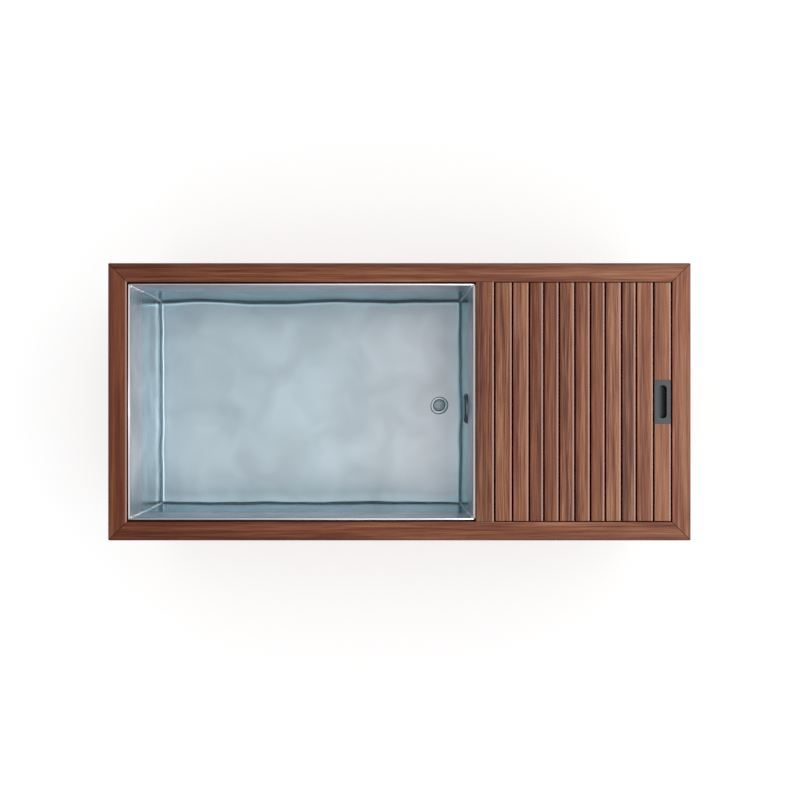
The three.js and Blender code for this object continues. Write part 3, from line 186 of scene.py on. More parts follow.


# grain runs along one axis of the part; boards gives (half length, pitch) where one panel has many boards
# width is given where gaps lie beside the board, and brings the painted edge highlight and the painted shade
# on its sides; figure is how strongly the board is figured
# mitred is the difference of x and y along the mitres, if any
def walnutBoard(name, grain, across, tone, seed, boards=None, tint=(1.0, 1.0, 1.0), drifts=(), width=None,
                figure=1.0, mitred=None, sideShade=walnut["openSideShade"]):
    draw = random.Random(seed)
    material, add, shader = newMaterial(name, {"IOR": 1.5, "Specular IOR Level": walnut["sheen"]})
    coords = add("TexCoord")
    parts = add("SeparateXYZ", None, {0: coords.outputs["Object"]})
    depth = ({"X", "Y", "Z"} - {grain, across}).pop()
    shift = [draw.uniform(-9, 9) for _ in range(3)]
    turned = add("CombineXYZ", None, {
        0: parts.outputs[grain], 1: parts.outputs[across], 2: parts.outputs[depth]})
    moved = add("VectorMath", {1: shift}, {0: turned})
    shares = [share * figure for share in walnut["shares"]]
    base = 0.5 + tone - sum(shares) / 2
    if boards:  # each board has its own part of the pattern
        half, pitch = boards
        base -= walnut["boardSpread"] / 2
        along = add("Math", {1: half}, {0: parts.outputs[across]})
        count = add("Math DIVIDE", {1: pitch}, {0: along})
        index = add("Math FLOOR", None, {0: count})
        chance = add("TexWhiteNoise", {"noise_dimensions": "1D"}, {"W": index})
        jump = add("VectorMath SCALE", {"Scale": 9.0}, {0: chance.outputs["Color"]})
        moved = add("VectorMath", None, {0: moved, 1: jump})
    long, wide, reach = walnut["sway"]
    sway = add("TexNoise", {"Scale": 1.0, "Detail": 1.0}, {
        "Vector": scaledBy(add, moved, (long, wide, wide))})
    bent = (0, reach * figure, reach * figure)
    bend = add("VectorMath MULTIPLY_ADD", {1: bent}, {0: sway.outputs["Color"], 2: moved})
    noises = {}
    for kind, (long, wide) in walnut["sizes"].items():
        detail, roughness = (1.0, 0.5) if kind == "pore" else (2.0, 0.55)
        noises[kind] = add("TexNoise", {"Scale": 1.0, "Detail": detail, "Roughness": roughness}, {
            "Vector": scaledBy(add, bend, (long, wide, wide))})
    level = None
    for noise, share in zip(noises.values(), shares):
        links = {0: noise, 2: level} if level else {0: noise}
        level = add("Math MULTIPLY_ADD", {1: share, 2: base}, links)
    if boards:
        level = add("Math MULTIPLY_ADD", {1: walnut["boardSpread"]}, {0: chance, 2: level})
    ramp = add("ValToRGB", None, {0: level})
    setRamp(ramp, [(stop, tuple(c * t for c, t in zip(hexColour(shade), (*tint, 1.0))))
                   for stop, shade in walnut["tones"]])
    poreDark = add("MapRange", limits(*walnut["poreShade"]), {"Value": noises["pore"]})
    colour = add("Mix", multiply, {6: ramp, 7: poreDark})
    hue = add("ValToRGB", None, {0: noises["broad"].outputs["Color"]})
    setRamp(hue, [(stop, (*shade, 1.0)) for stop, shade in walnut["hues"]])
    colour = add("Mix", multiply, {6: colour, 7: hue})
    colour = drifted(add, colour, parts, drifts)
    if mitred:  # glue has darkened the wood beside the joint
        x, y = (add("Math ABSOLUTE", None, {0: parts.outputs[axis]}) for axis in "XY")
        apart = add("Math SUBTRACT", None, {0: x, 1: y})
        beside = add("Math COMPARE", {1: mitred, 2: walnut["glueReach"]}, {0: apart})
        colour = add("Mix", {**multiply, 7: (*walnut["glueStain"], 1.0)}, {0: beside, 6: colour})
    if width:  # painted highlight: the right-hand eased edge is lightened as if lit from the right; painted shade: the sides that face each other across a gap are darkened, and lose their sheen
        spread = add("SeparateXYZ", None, {0: coords.outputs["Generated"]})
        paleHighlight = add("MapRange", limits(*(1 - w / width for w in walnut["edgeHighlightReach"])), {
            "Value": spread.outputs[across]})
        colour = add("Mix", {**blend, 7: hexColour(walnut["edgeHighlightColour"])}, {0: paleHighlight, 6: colour})
        normal = add("SeparateXYZ", None, {0: coords.outputs["Normal"]})
        aside = add("Math ABSOLUTE", None, {0: normal.outputs[across]})
        share = add("MapRange", {"interpolation_type": "SMOOTHSTEP", **limits(*walnut["sideTurn"])}, {
            "Value": aside})
        colour = add("Mix", {**blend, 7: hexColour(sideShade)}, {0: share, 6: colour})
        sheen = add("MapRange", limits(0.0, 1.0, walnut["sheen"], 0.0), {"Value": share})
        join(shader, {"Specular IOR Level": sheen})
    rough = add("MapRange", limits(0.3, 0.7, *walnut["roughness"]), {"Value": noises["fibre"]})
    height = add("Math MULTIPLY", None, {0: noises["fibre"], 1: poreDark})
    bump = add("Bump", walnut["relief"], {"Height": height})
    join(shader, {"Base Color": colour, "Roughness": rough, "Normal": bump})
    return material


# water, gently rippled: clear, blue-green where it is deep
water = {
    "level": 0.527,
    "bed": 0.0004,
    "step": 0.0065,
    "waves": 16,
    "longest": 0.42,
    "shortest": 0.11,
    "steepness": 0.0105,
    "seed": 11,
    "absorb": "#33d2f3",
    "density": 0.36,
}


def waterMaterial():
    material, add, shader = newMaterial("poolWater_still", {
        "Base Color": grey(1.0), "Roughness": 0.0, "IOR": 1.333, "Transmission Weight": 1.0})
    absorb = add("VolumeAbsorption", {"Color": hexColour(water["absorb"]), "Density": water["density"]})
    join(shader.outputs[0].links[0].to_node, {"Volume": absorb})
    return material


# stainless sheet, brushed along the sheet: soft mirror, faint cloudy patches, fine lines one way
stainless = {
    "lineLength": 0.24,
    "lineWidth": 0.0014,  # coarser than the grit, so that it shows
    "cloud": 0.17,
    "lineDepth": 0.00002,
    # painted highlight, lighter, on faces turned up such as the folded lip
    "lip": "#e4e0e2",
    "lipHighlightTurn": (0.1, 0.5),  # how far a face is turned up where the lip's painted highlight begins, and is full
    "wetEdge": 0.004,  # how far above and below the water line the change reaches
    "wetRoughness": 0.72,  # share of the dry roughness
}


# wet is the colour below the water line, a painted water shade; the wet bands, painted light and shade by
# height, and wetGlance at a grazing look, tint that part
def brushedStainless(name, lines, colour, roughness, clouding=0.03, lineStrength=0.03, drifts=(), wet=None,
                     wetLightBands=(), wetGlance=None):
    material, add, shader = newMaterial(name, {"Metallic": 1.0})
    coords = add("TexCoord")
    place = coords.outputs["Object"]
    parts = add("SeparateXYZ", None, {0: place})
    size = [stainless["lineWidth"]] * 3
    size["XYZ".index(lines)] = stainless["lineLength"]
    brushing = add("TexNoise", {"Scale": 1.0, "Detail": 2.0}, {"Vector": scaledBy(add, place, size)})
    clouds = add("TexNoise", {
        "Scale": 1 / stainless["cloud"], "Detail": 1.5, "Distortion": 0.6}, {"Vector": place})
    ramp = add("ValToRGB", None, {0: clouds})
    setRamp(ramp, shadeStops(colour, clouding))
    sheet = drifted(add, ramp, parts, drifts)
    both = add("Math MULTIPLY_ADD", {1: 0.5}, {0: clouds, 2: brushing})
    rough = add("MapRange", limits(0.45, 1.05, *roughness), {"Value": both})
    if wet:  # below the water line the sheet is painted darker, as painted water shade, and is smoother; its faces turned up, the folded lip, get a painted highlight
        edge = stainless["wetEdge"]
        below = add("MapRange", limits(water["level"] + edge, water["level"] - edge), {
            "Value": parts.outputs["Z"]})
        darkening = tuple(w / d for w, d in zip(hexColour(wet), hexColour(colour)))
        under = add("Mix", {**multiply, 7: darkening}, {6: sheet})
        under = drifted(add, under, parts, wetLightBands)
        sheet = add("Mix", blend, {0: below, 6: sheet, 7: under})
        glance = add("Mix", {**blend, 6: grey(1.0), 7: (*wetGlance, 1.0)}, {0: below})
        join(shader, {"Specular Tint": glance})
        # painted highlight on the faces turned up
        normal = add("SeparateXYZ", None, {0: coords.outputs["Normal"]})
        upwardHighlight = add("MapRange", limits(*stainless["lipHighlightTurn"]), {"Value": normal.outputs["Z"]})
        sheet = add("Mix", {**blend, 7: hexColour(stainless["lip"])}, {0: upwardHighlight, 6: sheet})
        share = add("MapRange", limits(0.0, 1.0, 1.0, stainless["wetRoughness"]), {"Value": below})
        rough = add("Math MULTIPLY", None, {0: rough, 1: share})
    bump = add("Bump", {"Strength": lineStrength, "Distance": stainless["lineDepth"]}, {"Height": brushing})
    join(shader, {"Base Color": sheet, "Roughness": rough, "Normal": bump})
    return material


# any plain-coloured stuff whose surface shows a fine grain: moulding texture, paint orange peel, foam cells
def grainedStuff(name, colour, grainSize, roughness, depth, metallic=0.0, shade=0.12, gloss=0.5, hollowShade=None):
    material, add, shader = newMaterial(name, {"Metallic": metallic, "Specular IOR Level": gloss})
    place = add("TexCoord").outputs["Object"]
    fine = add("TexNoise", {"Scale": 1 / grainSize, "Detail": 2.0}, {"Vector": place})
    broad = add("TexNoise", {"Scale": 9.0, "Detail": 3.0}, {"Vector": place})
    shown = add("ValToRGB", None, {0: broad})
    setRamp(shown, shadeStops(colour, shade))
    if hollowShade:  # painted shade: the colour is darker down inside a pocket, and darkest in its far part, where the pocket's side shades it
        parts = add("SeparateXYZ", None, {0: place})
        far = add("MapRange", limits(*hollowShade["far"], *hollowShade["shares"]), {"Value": parts.outputs["X"]})
        share = add("MapRange", limits(hollowShade["bottom"], hollowShade["top"]), {
            "Value": parts.outputs["Z"], "To Min": far})
        shown = add("Mix", multiply, {6: shown, 7: share})
    rough = add("MapRange", limits(0.3, 0.7, roughness - 0.06, roughness + 0.06), {"Value": fine})
    bump = add("Bump", {"Strength": 0.3, "Distance": depth}, {"Height": fine})
    join(shader, {"Base Color": shown, "Roughness": rough, "Normal": bump})
    return material


# birch ply, sanded and sealed: pale faces with a faint long figure, edges striped by the plies
plywood = {"pale": "#c3a277", "brown": "#93704a", "ply": 0.0026, "figureLength": 0.30, "figureWidth": 0.012}


def birchPly(name, through):
    material, add, shader = newMaterial(name, {"Specular IOR Level": 0.35})
    place = add("TexCoord").outputs["Object"]
    parts = add("SeparateXYZ", None, {0: place})
    size = (plywood["figureWidth"], plywood["figureLength"], plywood["figureWidth"])
    figure = add("TexNoise", {"Scale": 1.0, "Detail": 3.0, "Distortion": 0.4}, {
        "Vector": scaledBy(add, place, size)})
    layer = add("Math PINGPONG", {1: plywood["ply"]}, {0: parts.outputs[through]})
    layerShare = add("Math DIVIDE", {1: plywood["ply"]}, {0: layer})
    stripe = add("MapRange", {"interpolation_type": "SMOOTHSTEP", **limits(0.40, 0.60, 0.0, 0.55)}, {
        "Value": layerShare})
    level = add("Math MULTIPLY_ADD", {1: 0.7}, {0: figure, 2: stripe})
    ramp = add("ValToRGB", None, {0: level})
    setRamp(ramp, [(0.18, hexColour(plywood["pale"])), (0.95, hexColour(plywood["brown"]))])
    rough = add("MapRange", limits(0.0, 1.0, 0.55, 0.75), {"Value": figure})
    bump = add("Bump", {"Strength": 0.25, "Distance": 0.0003}, {"Height": figure})
    join(shader, {"Base Color": ramp, "Roughness": rough, "Normal": bump})
    return material


sharpAngle = 40  # degrees; edges that turn further are broken, and stay sharp in the shading


# makes a mesh object from (points, faces) that rides on a body and has the finish of a slot of the record,
# or is given its own; sharp is None where the faces stay flat; edge breaks the sharp edges by that much
def addPiece(name, shape, slot, material=None, body="tub", sharp=sharpAngle, edge=0.0):
    mesh = bpy.data.meshes.new(name)
    mesh.from_pydata([tuple(p) for p in shape[0]], [], shape[1])
    mesh.validate()
    work = bmesh.new()
    work.from_mesh(mesh)
    bmesh.ops.remove_doubles(work, verts=work.verts, dist=1e-6)
    bmesh.ops.recalc_face_normals(work, faces=work.faces)
    if edge:
        broken = [e for e in work.edges if e.is_manifold and e.calc_face_angle(0) > math.radians(sharpAngle)]
        bmesh.ops.bevel(
            work, geom=broken, offset=edge, segments=2, profile=0.5, affect="EDGES", clamp_overlap=True)
    work.to_mesh(mesh)
    work.free()
    if sharp:
        mesh.polygons.foreach_set("use_smooth", [True] * len(mesh.polygons))
        mesh.set_sharp_from_angle(angle=math.radians(sharp))
    mesh.materials.append(material or finishes[slot])
    piece = bpy.data.objects.new(name, mesh)
    scene.collection.objects.link(piece)
    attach(piece, body)
    return piece


# one of a number of places round a circle about Z
def onCircle(k, count, radius=1.0, height=0.0):
    angle = 2 * math.pi * k / count
    return Vector((radius * math.cos(angle), radius * math.sin(angle), height))


# faces between rings of points that follow each other; an open row of rings is capped at its ends
def ringFaces(rings, sides, closed=False):
    faces = []
    for i in range(rings if closed else rings - 1):
        near, far = i * sides, (i + 1) % rings * sides
        for k in range(sides):
            after = (k + 1) % sides
            faces.append((near + k, near + after, far + after, far + k))
    if not closed:
        faces += [tuple(range(sides)), tuple(range((rings - 1) * sides, rings * sides))]
    return faces


# a tube of rings along a path; radii may vary from ring to ring, flutes (count, depth) run along it
def tubeRings(path, radii, sides, closed=False, flutes=(0, 0.0)):
    count = len(path)
    points = []
    normal = None
    for i, centre in enumerate(path):
        before = path[i - 1] if i or closed else path[0]
        after = path[(i + 1) % count] if i < count - 1 or closed else path[-1]
        along = (after - before).normalized()
        if normal is None:
            normal = along.orthogonal().normalized()
        normal = (normal - along * normal.dot(along)).normalized()
        side = along.cross(normal)
        for k in range(sides):
            angle = 2 * math.pi * k / sides
            radius = radii[i] * (1 + flutes[1] * math.cos(flutes[0] * angle))
            points.append(centre + (normal * math.cos(angle) + side * math.sin(angle)) * radius)
    return points, ringFaces(count, sides, closed)


# a turned shape about Z: profile of (radius, height); where a third number is given, every other point of the
# ring is drawn in by it, which makes twelve sides a hexagon
def turnedRings(profile, sides):
    points, faces, rows = [], [], []
    for radius, height, *drawnIn in profile:
        count = sides if radius else 1
        rows.append(list(range(len(points), len(points) + count)))
        for k in range(count):
            points.append(onCircle(k, sides, radius * drawnIn[0] if drawnIn and k % 2 else radius, height))
    for low, high in zip(rows, rows[1:]):
        for k in range(sides):
            nextK = (k + 1) % sides
            ring = [low[k % len(low)], low[nextK % len(low)], high[nextK % len(high)], high[k % len(high)]]
            face = tuple(dict.fromkeys(ring))
            if len(face) > 2:
                faces.append(face)
    return points, faces


# a ring about Z: its profile closes on itself
def closedRing(profile, sides):
    return turnedRings([*profile, profile[0]], sides)


def gather(shapes):
    points, faces = [], []
    for morePoints, moreFaces in shapes:
        start = len(points)
        points += morePoints
        faces += [tuple(start + i for i in face) for face in moreFaces]
    return points, faces


def placed(shape, matrix):
    return [matrix @ Vector(p) for p in shape[0]], shape[1]


# turns a shape's Z to a direction and moves it to a place
def facing(place, direction):
    turn = Vector(direction).to_track_quat("Z", "Y").to_matrix().to_4x4()
    return Matrix.Translation(Vector(place)) @ turn


def boxShape(low, high):
    xs, ys, zs = zip(low, high)
    points = [Vector((x, y, z)) for x in xs for y in ys for z in zs]
    return points, [(0, 1, 3, 2), (4, 6, 7, 5), (0, 4, 5, 1), (2, 3, 7, 6), (0, 2, 6, 4), (1, 5, 7, 3)]


print("helpers ready")

# steels: the floor is dulled smooth and painted light, lighter towards the front, darker at the left and
# pinker to the right, with painted bright bands by the right and front walls; the cove is pressed and shines
# softly
floorSteel = brushedStainless("stainless_brushed_floor", "X", "#d8d8d9", (0.285, 0.300), 0.10, 0.004, [
    ("X", 0.15, -0.35, (1.03, 0.93, 0.92)), ("Y", -0.40, 0.12, (1.13, 1.12, 1.11)),
    ("X", -0.97, -0.45, (0.93, 0.95, 0.97)), ("X", 0.250, 0.205, (1.18, 1.17, 1.17)),
    ("Y", -0.402, -0.372, (1.36, 1.31, 1.28))])
coveSteel = brushedStainless("stainless_pressed_cove", "X", "#c6d4d9", (0.28, 0.34), lineStrength=0.02)
# side: lines along, dry and wet colour, tints of the wet part by height (the foot of the left wall shows
# a painted bright band over painted shade), tint of the wet part at a grazing look
# the dry colours differ from wall to wall as painted light, the left wall lit from the right, and the darker
# blue-green wet colours are painted water shade
wallLooksAndLight = {
    "left": ("Y", "#d9d0d0", "#b9c6ca", [
        ("Z", 0.205, 0.275, (1.80, 1.68, 1.62)), ("Z", 0.150, 0.195, (0.24, 0.26, 0.28)),
        ("Z", 0.525, 0.490, (0.86, 0.90, 0.91))], (1.0, 1.0, 1.0)),
    "right": ("Y", "#c5c6d2", "#9cc0c7", [
        ("Z", 0.130, 0.350, (1.22, 1.30, 1.30)), ("Z", 0.520, 0.430, (0.78, 0.84, 0.86))],
        (0.90, 1.0, 1.0)),
    "back": ("X", "#bfb8c5", "#6c94a2", [("Z", 0.130, 0.220, (1.60, 1.60, 1.60))], (0.95, 1.0, 1.0)),
    "front": ("X", "#b4bac5", "#6893a5", [], (0.80, 0.90, 0.93)),
}
wallRoughness = (0.31, 0.35)
wallClouding = 0.20
wallSteels = {}
for side, (lines, dry, wet, wetLightBands, wetGlance) in wallLooksAndLight.items():
    wallSteels["basin_wall_" + side] = brushedStainless(
        "stainless_brushed_" + side, lines, dry, wallRoughness, wallClouding, wet=wet, wetLightBands=wetLightBands,
        wetGlance=wetGlance)
turnedSteel = brushedStainless("stainless_turned", "X", "#b9bcbe", (0.16, 0.26))  # bright, mirrors softly
strainerSteel = brushedStainless("stainless_pressed_satin", "X", "#e6e2e4", (0.40, 0.50))  # pale satin
domeSteel = brushedStainless("stainless_pressed_grey", "X", "#b9ced6", (0.40, 0.50))  # bluish satin
flangeSteel = brushedStainless(
    "stainless_turned_bright", "X", "#f6f6f6", (0.28, 0.30), lineStrength=0.004)  # almost white, soft mirror
weldSteel = brushedStainless("stainless_weld_ground", "Z", "#e6e8e9", (0.36, 0.52))  # pale and dull

# other finishes: name, colour, grain size, roughness, grain depth, metallic, shade, gloss, and the painted
# shade of a pocket
# painted shade in the pull's pocket: darker down inside, darkest in its right-hand part
pullPocketShade = {"top": 0.698, "bottom": 0.690, "far": (0.9470, 0.9490), "shares": (0.78, 0.19)}
stuffs = {
    # satin near black and satin dark grey, as anodised
    "bearer_alloy": ("aluminium_anodised_black", "#26282a", 0.0014, 0.44, 0.00006, 0.30, 0.06, 0.3),
    "pull_alloy": ("aluminium_anodised_dark", "#4c4f52", 0.0010, 0.42, 0.00005, 0.30, 0.05, 0.3, pullPocketShade),
    # matt black, and a matt brown-black that takes its tone from the wood beside it
    "runner_rubber": ("rubber_moulded", "#1d1d1e", 0.0012, 0.78, 0.0001),
    "seal_rubber": ("epdm_extruded", "#22110d", 0.0009, 0.72, 0.00005, 0.0, 0.12, 0.25),
    # fine mould texture, smoother in white
    "black_plastic": ("abs_moulded_black", "#27292b", 0.0011, 0.50, 0.00006),
    "white_plastic": ("abs_moulded_white", "#d6d8d9", 0.0014, 0.38, 0.00004, 0.0, 0.03),
    "grey_plastic": ("pvc_moulded_grey", "#8d9296", 0.0012, 0.45, 0.00005),
    # cut cells, quite dull
    "foam": ("pe_foam_cut", "#5b6f86", 0.0035, 0.90, 0.0006),
    # orange peel: eggshell on the case, glossier enamel on the motor, soft vinyl on the lever
    "coated_steel": ("steel_powder_coated", "#c6c9cb", 0.0014, 0.46, 0.00007, 0.0, 0.03),
    "motor_paint": ("iron_enamelled_blue", "#33475c", 0.0022, 0.36, 0.00008, 0.0, 0.06),
    "lever_paint": ("vinyl_dipped_red", "#a3312b", 0.0018, 0.40, 0.00006),
    # a little glossy
    "hose": ("pvc_hose_ribbed", "#4d5559", 0.0012, 0.36, 0.00004, 0.0, 0.08),
}
finishes = {slot: grainedStuff(*stuff) for slot, stuff in stuffs.items()}
finishes.update({"fitting_steel": turnedSteel, "basin_steel": floorSteel})

# wood: one finish for each board; tone is how light the board is
boardTones = {"rim_front": 0.0, "rim_back": 0.04, "rim_left": -0.02, "rim_right": 0.05,
              "divider_board": -0.05, "rest_cleat": -0.05}
slatTones = (0.03, 0.07, -0.10, -0.11, -0.08, 0.0, -0.06, 0.11, -0.05, 0.06, 0.07)
boardTones.update({f"lid_slat_{i:02d}": slatTone for i, slatTone in enumerate(slatTones, 1)})
# the rims' tints are painted light: the left rim darker and redder, the right and back rims lighter, as light
# falls off from the right; the tints of slat 9 and the divider are their own tone
boardTintsAndLight = {"rim_left": (0.86, 0.70, 0.60), "rim_right": (1.16, 1.18, 1.22), "rim_back": (1.10, 1.12, 1.08),
              "lid_slat_09": (0.91, 1.08, 1.25), "divider_board": (1.0, 1.11, 1.12)}
slatTint = (1.01, 1.06, 1.06)
outerEdgeShade = (0.42, 0.40, 0.40)  # painted shade on the eased outer edges and at the ends of the divider
# painted light on the rims: the front and back darken towards the left end as the light falls off; each rim
# darkens towards one edge, with painted shade on the outer eased edges, at the divider's ends and in the gap
# inside the right rim's inner edge; the back rim's inner edge has a painted highlight
boardPaintedLight = {
    "rim_front": [("X", -1.05, 0.5, (0.69, 0.47, 0.36)), ("Y", -0.500, -0.440, (0.86, 0.85, 0.84)),
                  ("Y", -0.4985, -0.4955, outerEdgeShade)],
    "rim_back": [("X", -1.05, 0.5, (0.67, 0.53, 0.45)), ("Y", 0.500, 0.450, (0.72, 0.76, 0.86)),
                 ("Y", 0.4985, 0.4960, outerEdgeShade), ("Y", 0.4340, 0.4375, (1.30, 1.36, 1.55))],
    "rim_left": [("X", -0.983, -1.015, (0.76, 0.78, 0.84)), ("X", -1.0485, -1.0455, outerEdgeShade)],
    "rim_right": [("X", 1.050, 0.985, (0.80, 0.82, 0.85)), ("X", 1.0485, 1.0460, outerEdgeShade),
                  ("X", 0.9842, 0.9853, (0.50, 0.09, 0.05))],
    "divider_board": [("Y", 0.4330, 0.4300, outerEdgeShade), ("Y", -0.4330, -0.4300, outerEdgeShade)],
}
boardFigures = {
    "lid_slat_01": 1.35, "lid_slat_02": 1.25, "lid_slat_05": 1.6, "lid_slat_06": 1.15, "lid_slat_08": 1.55,
    "lid_slat_09": 1.3, "lid_slat_11": 0.85, "divider_board": 1.3, "rim_left": 0.75,
}
panelBoards = {  # across, half length, number of boards
    "panel_front": ("X", 1.042, 36), "panel_back": ("X", 1.042, 36),
    "panel_left": ("Y", 0.492, 17), "panel_right": ("Y", 0.492, 17),
}
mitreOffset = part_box("rim_right")[1].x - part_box("rim_back")[1].y
boardFinish = {}
# the slats get the darker painted shade on their sides, the other boards a lighter one
for i, (name, tone) in enumerate(boardTones.items()):
    grain, across = "XY" if name in ("rim_front", "rim_back") else "YX"
    low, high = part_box(name)
    isSlat = name.startswith("lid_slat")
    boardFinish[name] = walnutBoard(
        "walnut_oiled_" + name, grain, across, tone, walnut["boardSeed"] + i,
        tint=boardTintsAndLight.get(name, slatTint if isSlat else (1.0, 1.0, 1.0)),
        drifts=boardPaintedLight.get(name, ()),
        width=high.x - low.x if across == "X" and name != "rim_right" else None,
        figure=boardFigures.get(name, 1.0),
        mitred=mitreOffset if name.startswith("rim") else None,
        sideShade=walnut["gapSideShade" if isSlat and name != "lid_slat_11" else "openSideShade"])
for i, (name, (across, half, count)) in enumerate(panelBoards.items()):
    boardFinish[name] = walnutBoard(
        "walnut_oiled_" + name, "Z", across, 0.0, walnut["panelSeed"] + i, (half, 2 * half / count))
boardFinish["base_board"] = birchPly("birch_ply_base", "Z")
boardFinish["bulkhead"] = birchPly("birch_ply_bulkhead", "X")

# every node: its finish, joined facets, softly broken edges and even shading
edgeBreaks = {
    "wood": 0.0012, "panel_wood": 0.0016, "pull_alloy": 0.0006, "basin_steel": 0.0, "fitting_steel": 0.0005,
    "seal_rubber": 0.0, "coated_steel": 0.0012, "foam": 0.0, "plywood": 0.0008, "other": 0.0008,
}
treatments = {
    "joinFacets": ("WELD", {"merge_threshold": 0.00002}),
    "mergeFlats": ("DECIMATE", {"decimate_type": "DISSOLVE", "angle_limit": math.radians(1)}),
    "breakEdges": ("BEVEL", {"segments": 2, "limit_method": "ANGLE", "angle_limit": math.radians(38)}),
    "evenShading": ("WEIGHTED_NORMAL", {"keep_sharp": True}),
}
slotOf = {row["node"]: row["material_slot"] for row in frame["record"]["subparts"]}
for name, node in nodes.items():
    slot = slotOf[name]
    mesh = node.data
    mesh.materials.clear()
    mesh.materials.append(boardFinish.get(name) or wallSteels.get(name) or finishes[slot])
    if "custom_normal" in mesh.attributes:
        mesh.attributes.remove(mesh.attributes["custom_normal"])
    mesh.polygons.foreach_set("use_smooth", [True] * len(mesh.polygons))
    breakWidth = edgeBreaks.get(slot, edgeBreaks["wood" if slot.endswith("wood") else "other"])
    for title, (kind, settings) in treatments.items():
        if kind != "BEVEL" or breakWidth:
            modifier = node.modifiers.new(title, kind)
            for key, value in settings.items():
                setattr(modifier, key, value)
            if kind == "BEVEL":
                modifier.width = breakWidth
print("finishes given to the nodes")

# basin: a pressed cove round the floor, and corners where the sheets are welded and ground
basin = {
    "left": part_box("basin_wall_left")[1].x,
    "right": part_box("basin_wall_right")[0].x,
    "front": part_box("basin_wall_front")[1].y,
    "back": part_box("basin_wall_back")[0].y,
    "floor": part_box("basin_floor")[1].z,
    "lip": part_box("basin_wall_left")[1].z,
    "coveReach": (0.018, 0.020, 0.014, 0.024),  # at the left, right, front and back of the floor
    "coveRise": 0.015,
    "weldRadius": 0.0060,
    "weldEnds": (0.009, 0.002),  # above the floor, below the lip
    "weldRipple": 0.005,
    "weldRows": 4,  # in each ripple
    "weldSwell": 0.10,
    "bed": 0.0003,  # how far cove and welds reach into the sheet
    "steps": 14,
}
quarterTurns = [math.pi / 2 * i / basin["steps"] for i in range(basin["steps"] + 1)]
quarterArc = [(math.cos(angle), math.sin(angle)) for angle in quarterTurns]


# a cove is pressed along each side of the floor
def floorCove():
    (left, right, front, back), bed = basin["coveReach"], basin["bed"]
    rows = [(0.0, 0.0)] + [(1 - a, 1 - b) for a, b in quarterArc]
    points = []
    for out, up in rows:
        x0, x1 = basin["left"] + left * out - bed, basin["right"] - right * out + bed
        y0, y1 = basin["front"] + front * out - bed, basin["back"] - back * out + bed
        z = basin["floor"] + basin["coveRise"] * up - bed
        points += [(x0, y0, z), (x1, y0, z), (x1, y1, z), (x0, y1, z)]
    shape = points, ringFaces(len(rows), 4, closed=True)
    addPiece("floor_cove", shape, "basin_steel", coveSteel, sharp=30)


# a weld bead in each upright corner, with the ripples that the torch leaves
def cornerWelds():
    bed, section = basin["bed"], [(0.0, 0.0), *quarterArc]
    low, high = basin["floor"] + basin["weldEnds"][0], basin["lip"] - basin["weldEnds"][1]
    levels = round((high - low) / basin["weldRipple"] * basin["weldRows"])
    shapes = []
    for xName, sx in (("left", 1), ("right", -1)):
        for yName, sy in (("front", 1), ("back", -1)):
            points = []
            for k in range(levels + 1):
                z = low + (high - low) * k / levels
                swell = 1 + basin["weldSwell"] * math.sin(2 * math.pi * k / basin["weldRows"])
                radius = basin["weldRadius"] * swell
                for a, b in section:
                    x, y = basin[xName] + sx * (a * radius - bed), basin[yName] + sy * (b * radius - bed)
                    points.append(Vector((x, y, z)))
            shapes.append((points, ringFaces(levels + 1, len(section))))
    addPiece("corner_welds", gather(shapes), "basin_steel", weldSteel, sharp=70)


# the lip of the right wall is folded out over the seal, up to the divider
fold = {"lap": 0.0015, "inset": 0.006, "drop": 0.0006, "thickness": 0.0015, "gap": 0.0006}


def lipFold():
    low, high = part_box("basin_wall_right")
    top = high.z - fold["drop"]
    shape = boxShape((high.x - fold["lap"], low.y + fold["inset"], top - fold["thickness"]),
                     (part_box("divider_board")[0].x - fold["gap"], high.y - fold["inset"], top))
    addPiece("lip_fold", shape, "basin_steel", wallSteels["basin_wall_right"], edge=0.0004)


floorCove()
cornerWelds()
lipFold()
print("basin welds made")


# water: a rippled top, with sides and bottom let a little into the sheet so that no air is left between
def ripples():
    draw = random.Random(water["seed"])
    rows = []
    for i in range(water["waves"]):
        share = i / (water["waves"] - 1)
        length = water["longest"] * (water["shortest"] / water["longest"]) ** share
        heading = draw.uniform(0, 2 * math.pi)
        number = 2 * math.pi / length
        rows.append((
            number * math.cos(heading), number * math.sin(heading), draw.uniform(0, 2 * math.pi),
            water["steepness"] / number * draw.uniform(0.6, 1.4)))
    return rows


def waterBody():
    x0, x1 = basin["left"] - water["bed"], basin["right"] + water["bed"]
    y0, y1 = basin["front"] - water["bed"], basin["back"] + water["bed"]
    bottom = basin["floor"] - water["bed"]
    nx, ny = round((x1 - x0) / water["step"]), round((y1 - y0) / water["step"])
    waves = ripples()
    points = []
    for j in range(ny + 1):
        for i in range(nx + 1):
            x, y = x0 + (x1 - x0) * i / nx, y0 + (y1 - y0) * j / ny
            lift = sum(a * math.sin(kx * x + ky * y + phase) for kx, ky, phase, a in waves)
            points.append((x, y, water["level"] + lift))
    faces = []
    for j in range(ny):
        for i in range(nx):
            a = j * (nx + 1) + i
            faces.append((a, a + 1, a + nx + 2, a + nx + 1))
    rim = list(range(nx))
    rim += [j * (nx + 1) + nx for j in range(ny)]
    rim += [ny * (nx + 1) + nx - i for i in range(nx)]
    rim += [(ny - j) * (nx + 1) for j in range(ny)]
    start = len(points)
    points += [(points[i][0], points[i][1], bottom) for i in rim]
    for k in range(len(rim)):
        n = (k + 1) % len(rim)
        faces.append((rim[n], rim[k], start + k, start + n))
    faces.append(tuple(reversed(range(start, start + len(rim)))))
    piece = addPiece("water", (points, faces), None, waterMaterial())
    piece.visible_shadow = False  # light reaches the sheets through it
    piece.visible_diffuse = False


waterBody()
print("water poured")

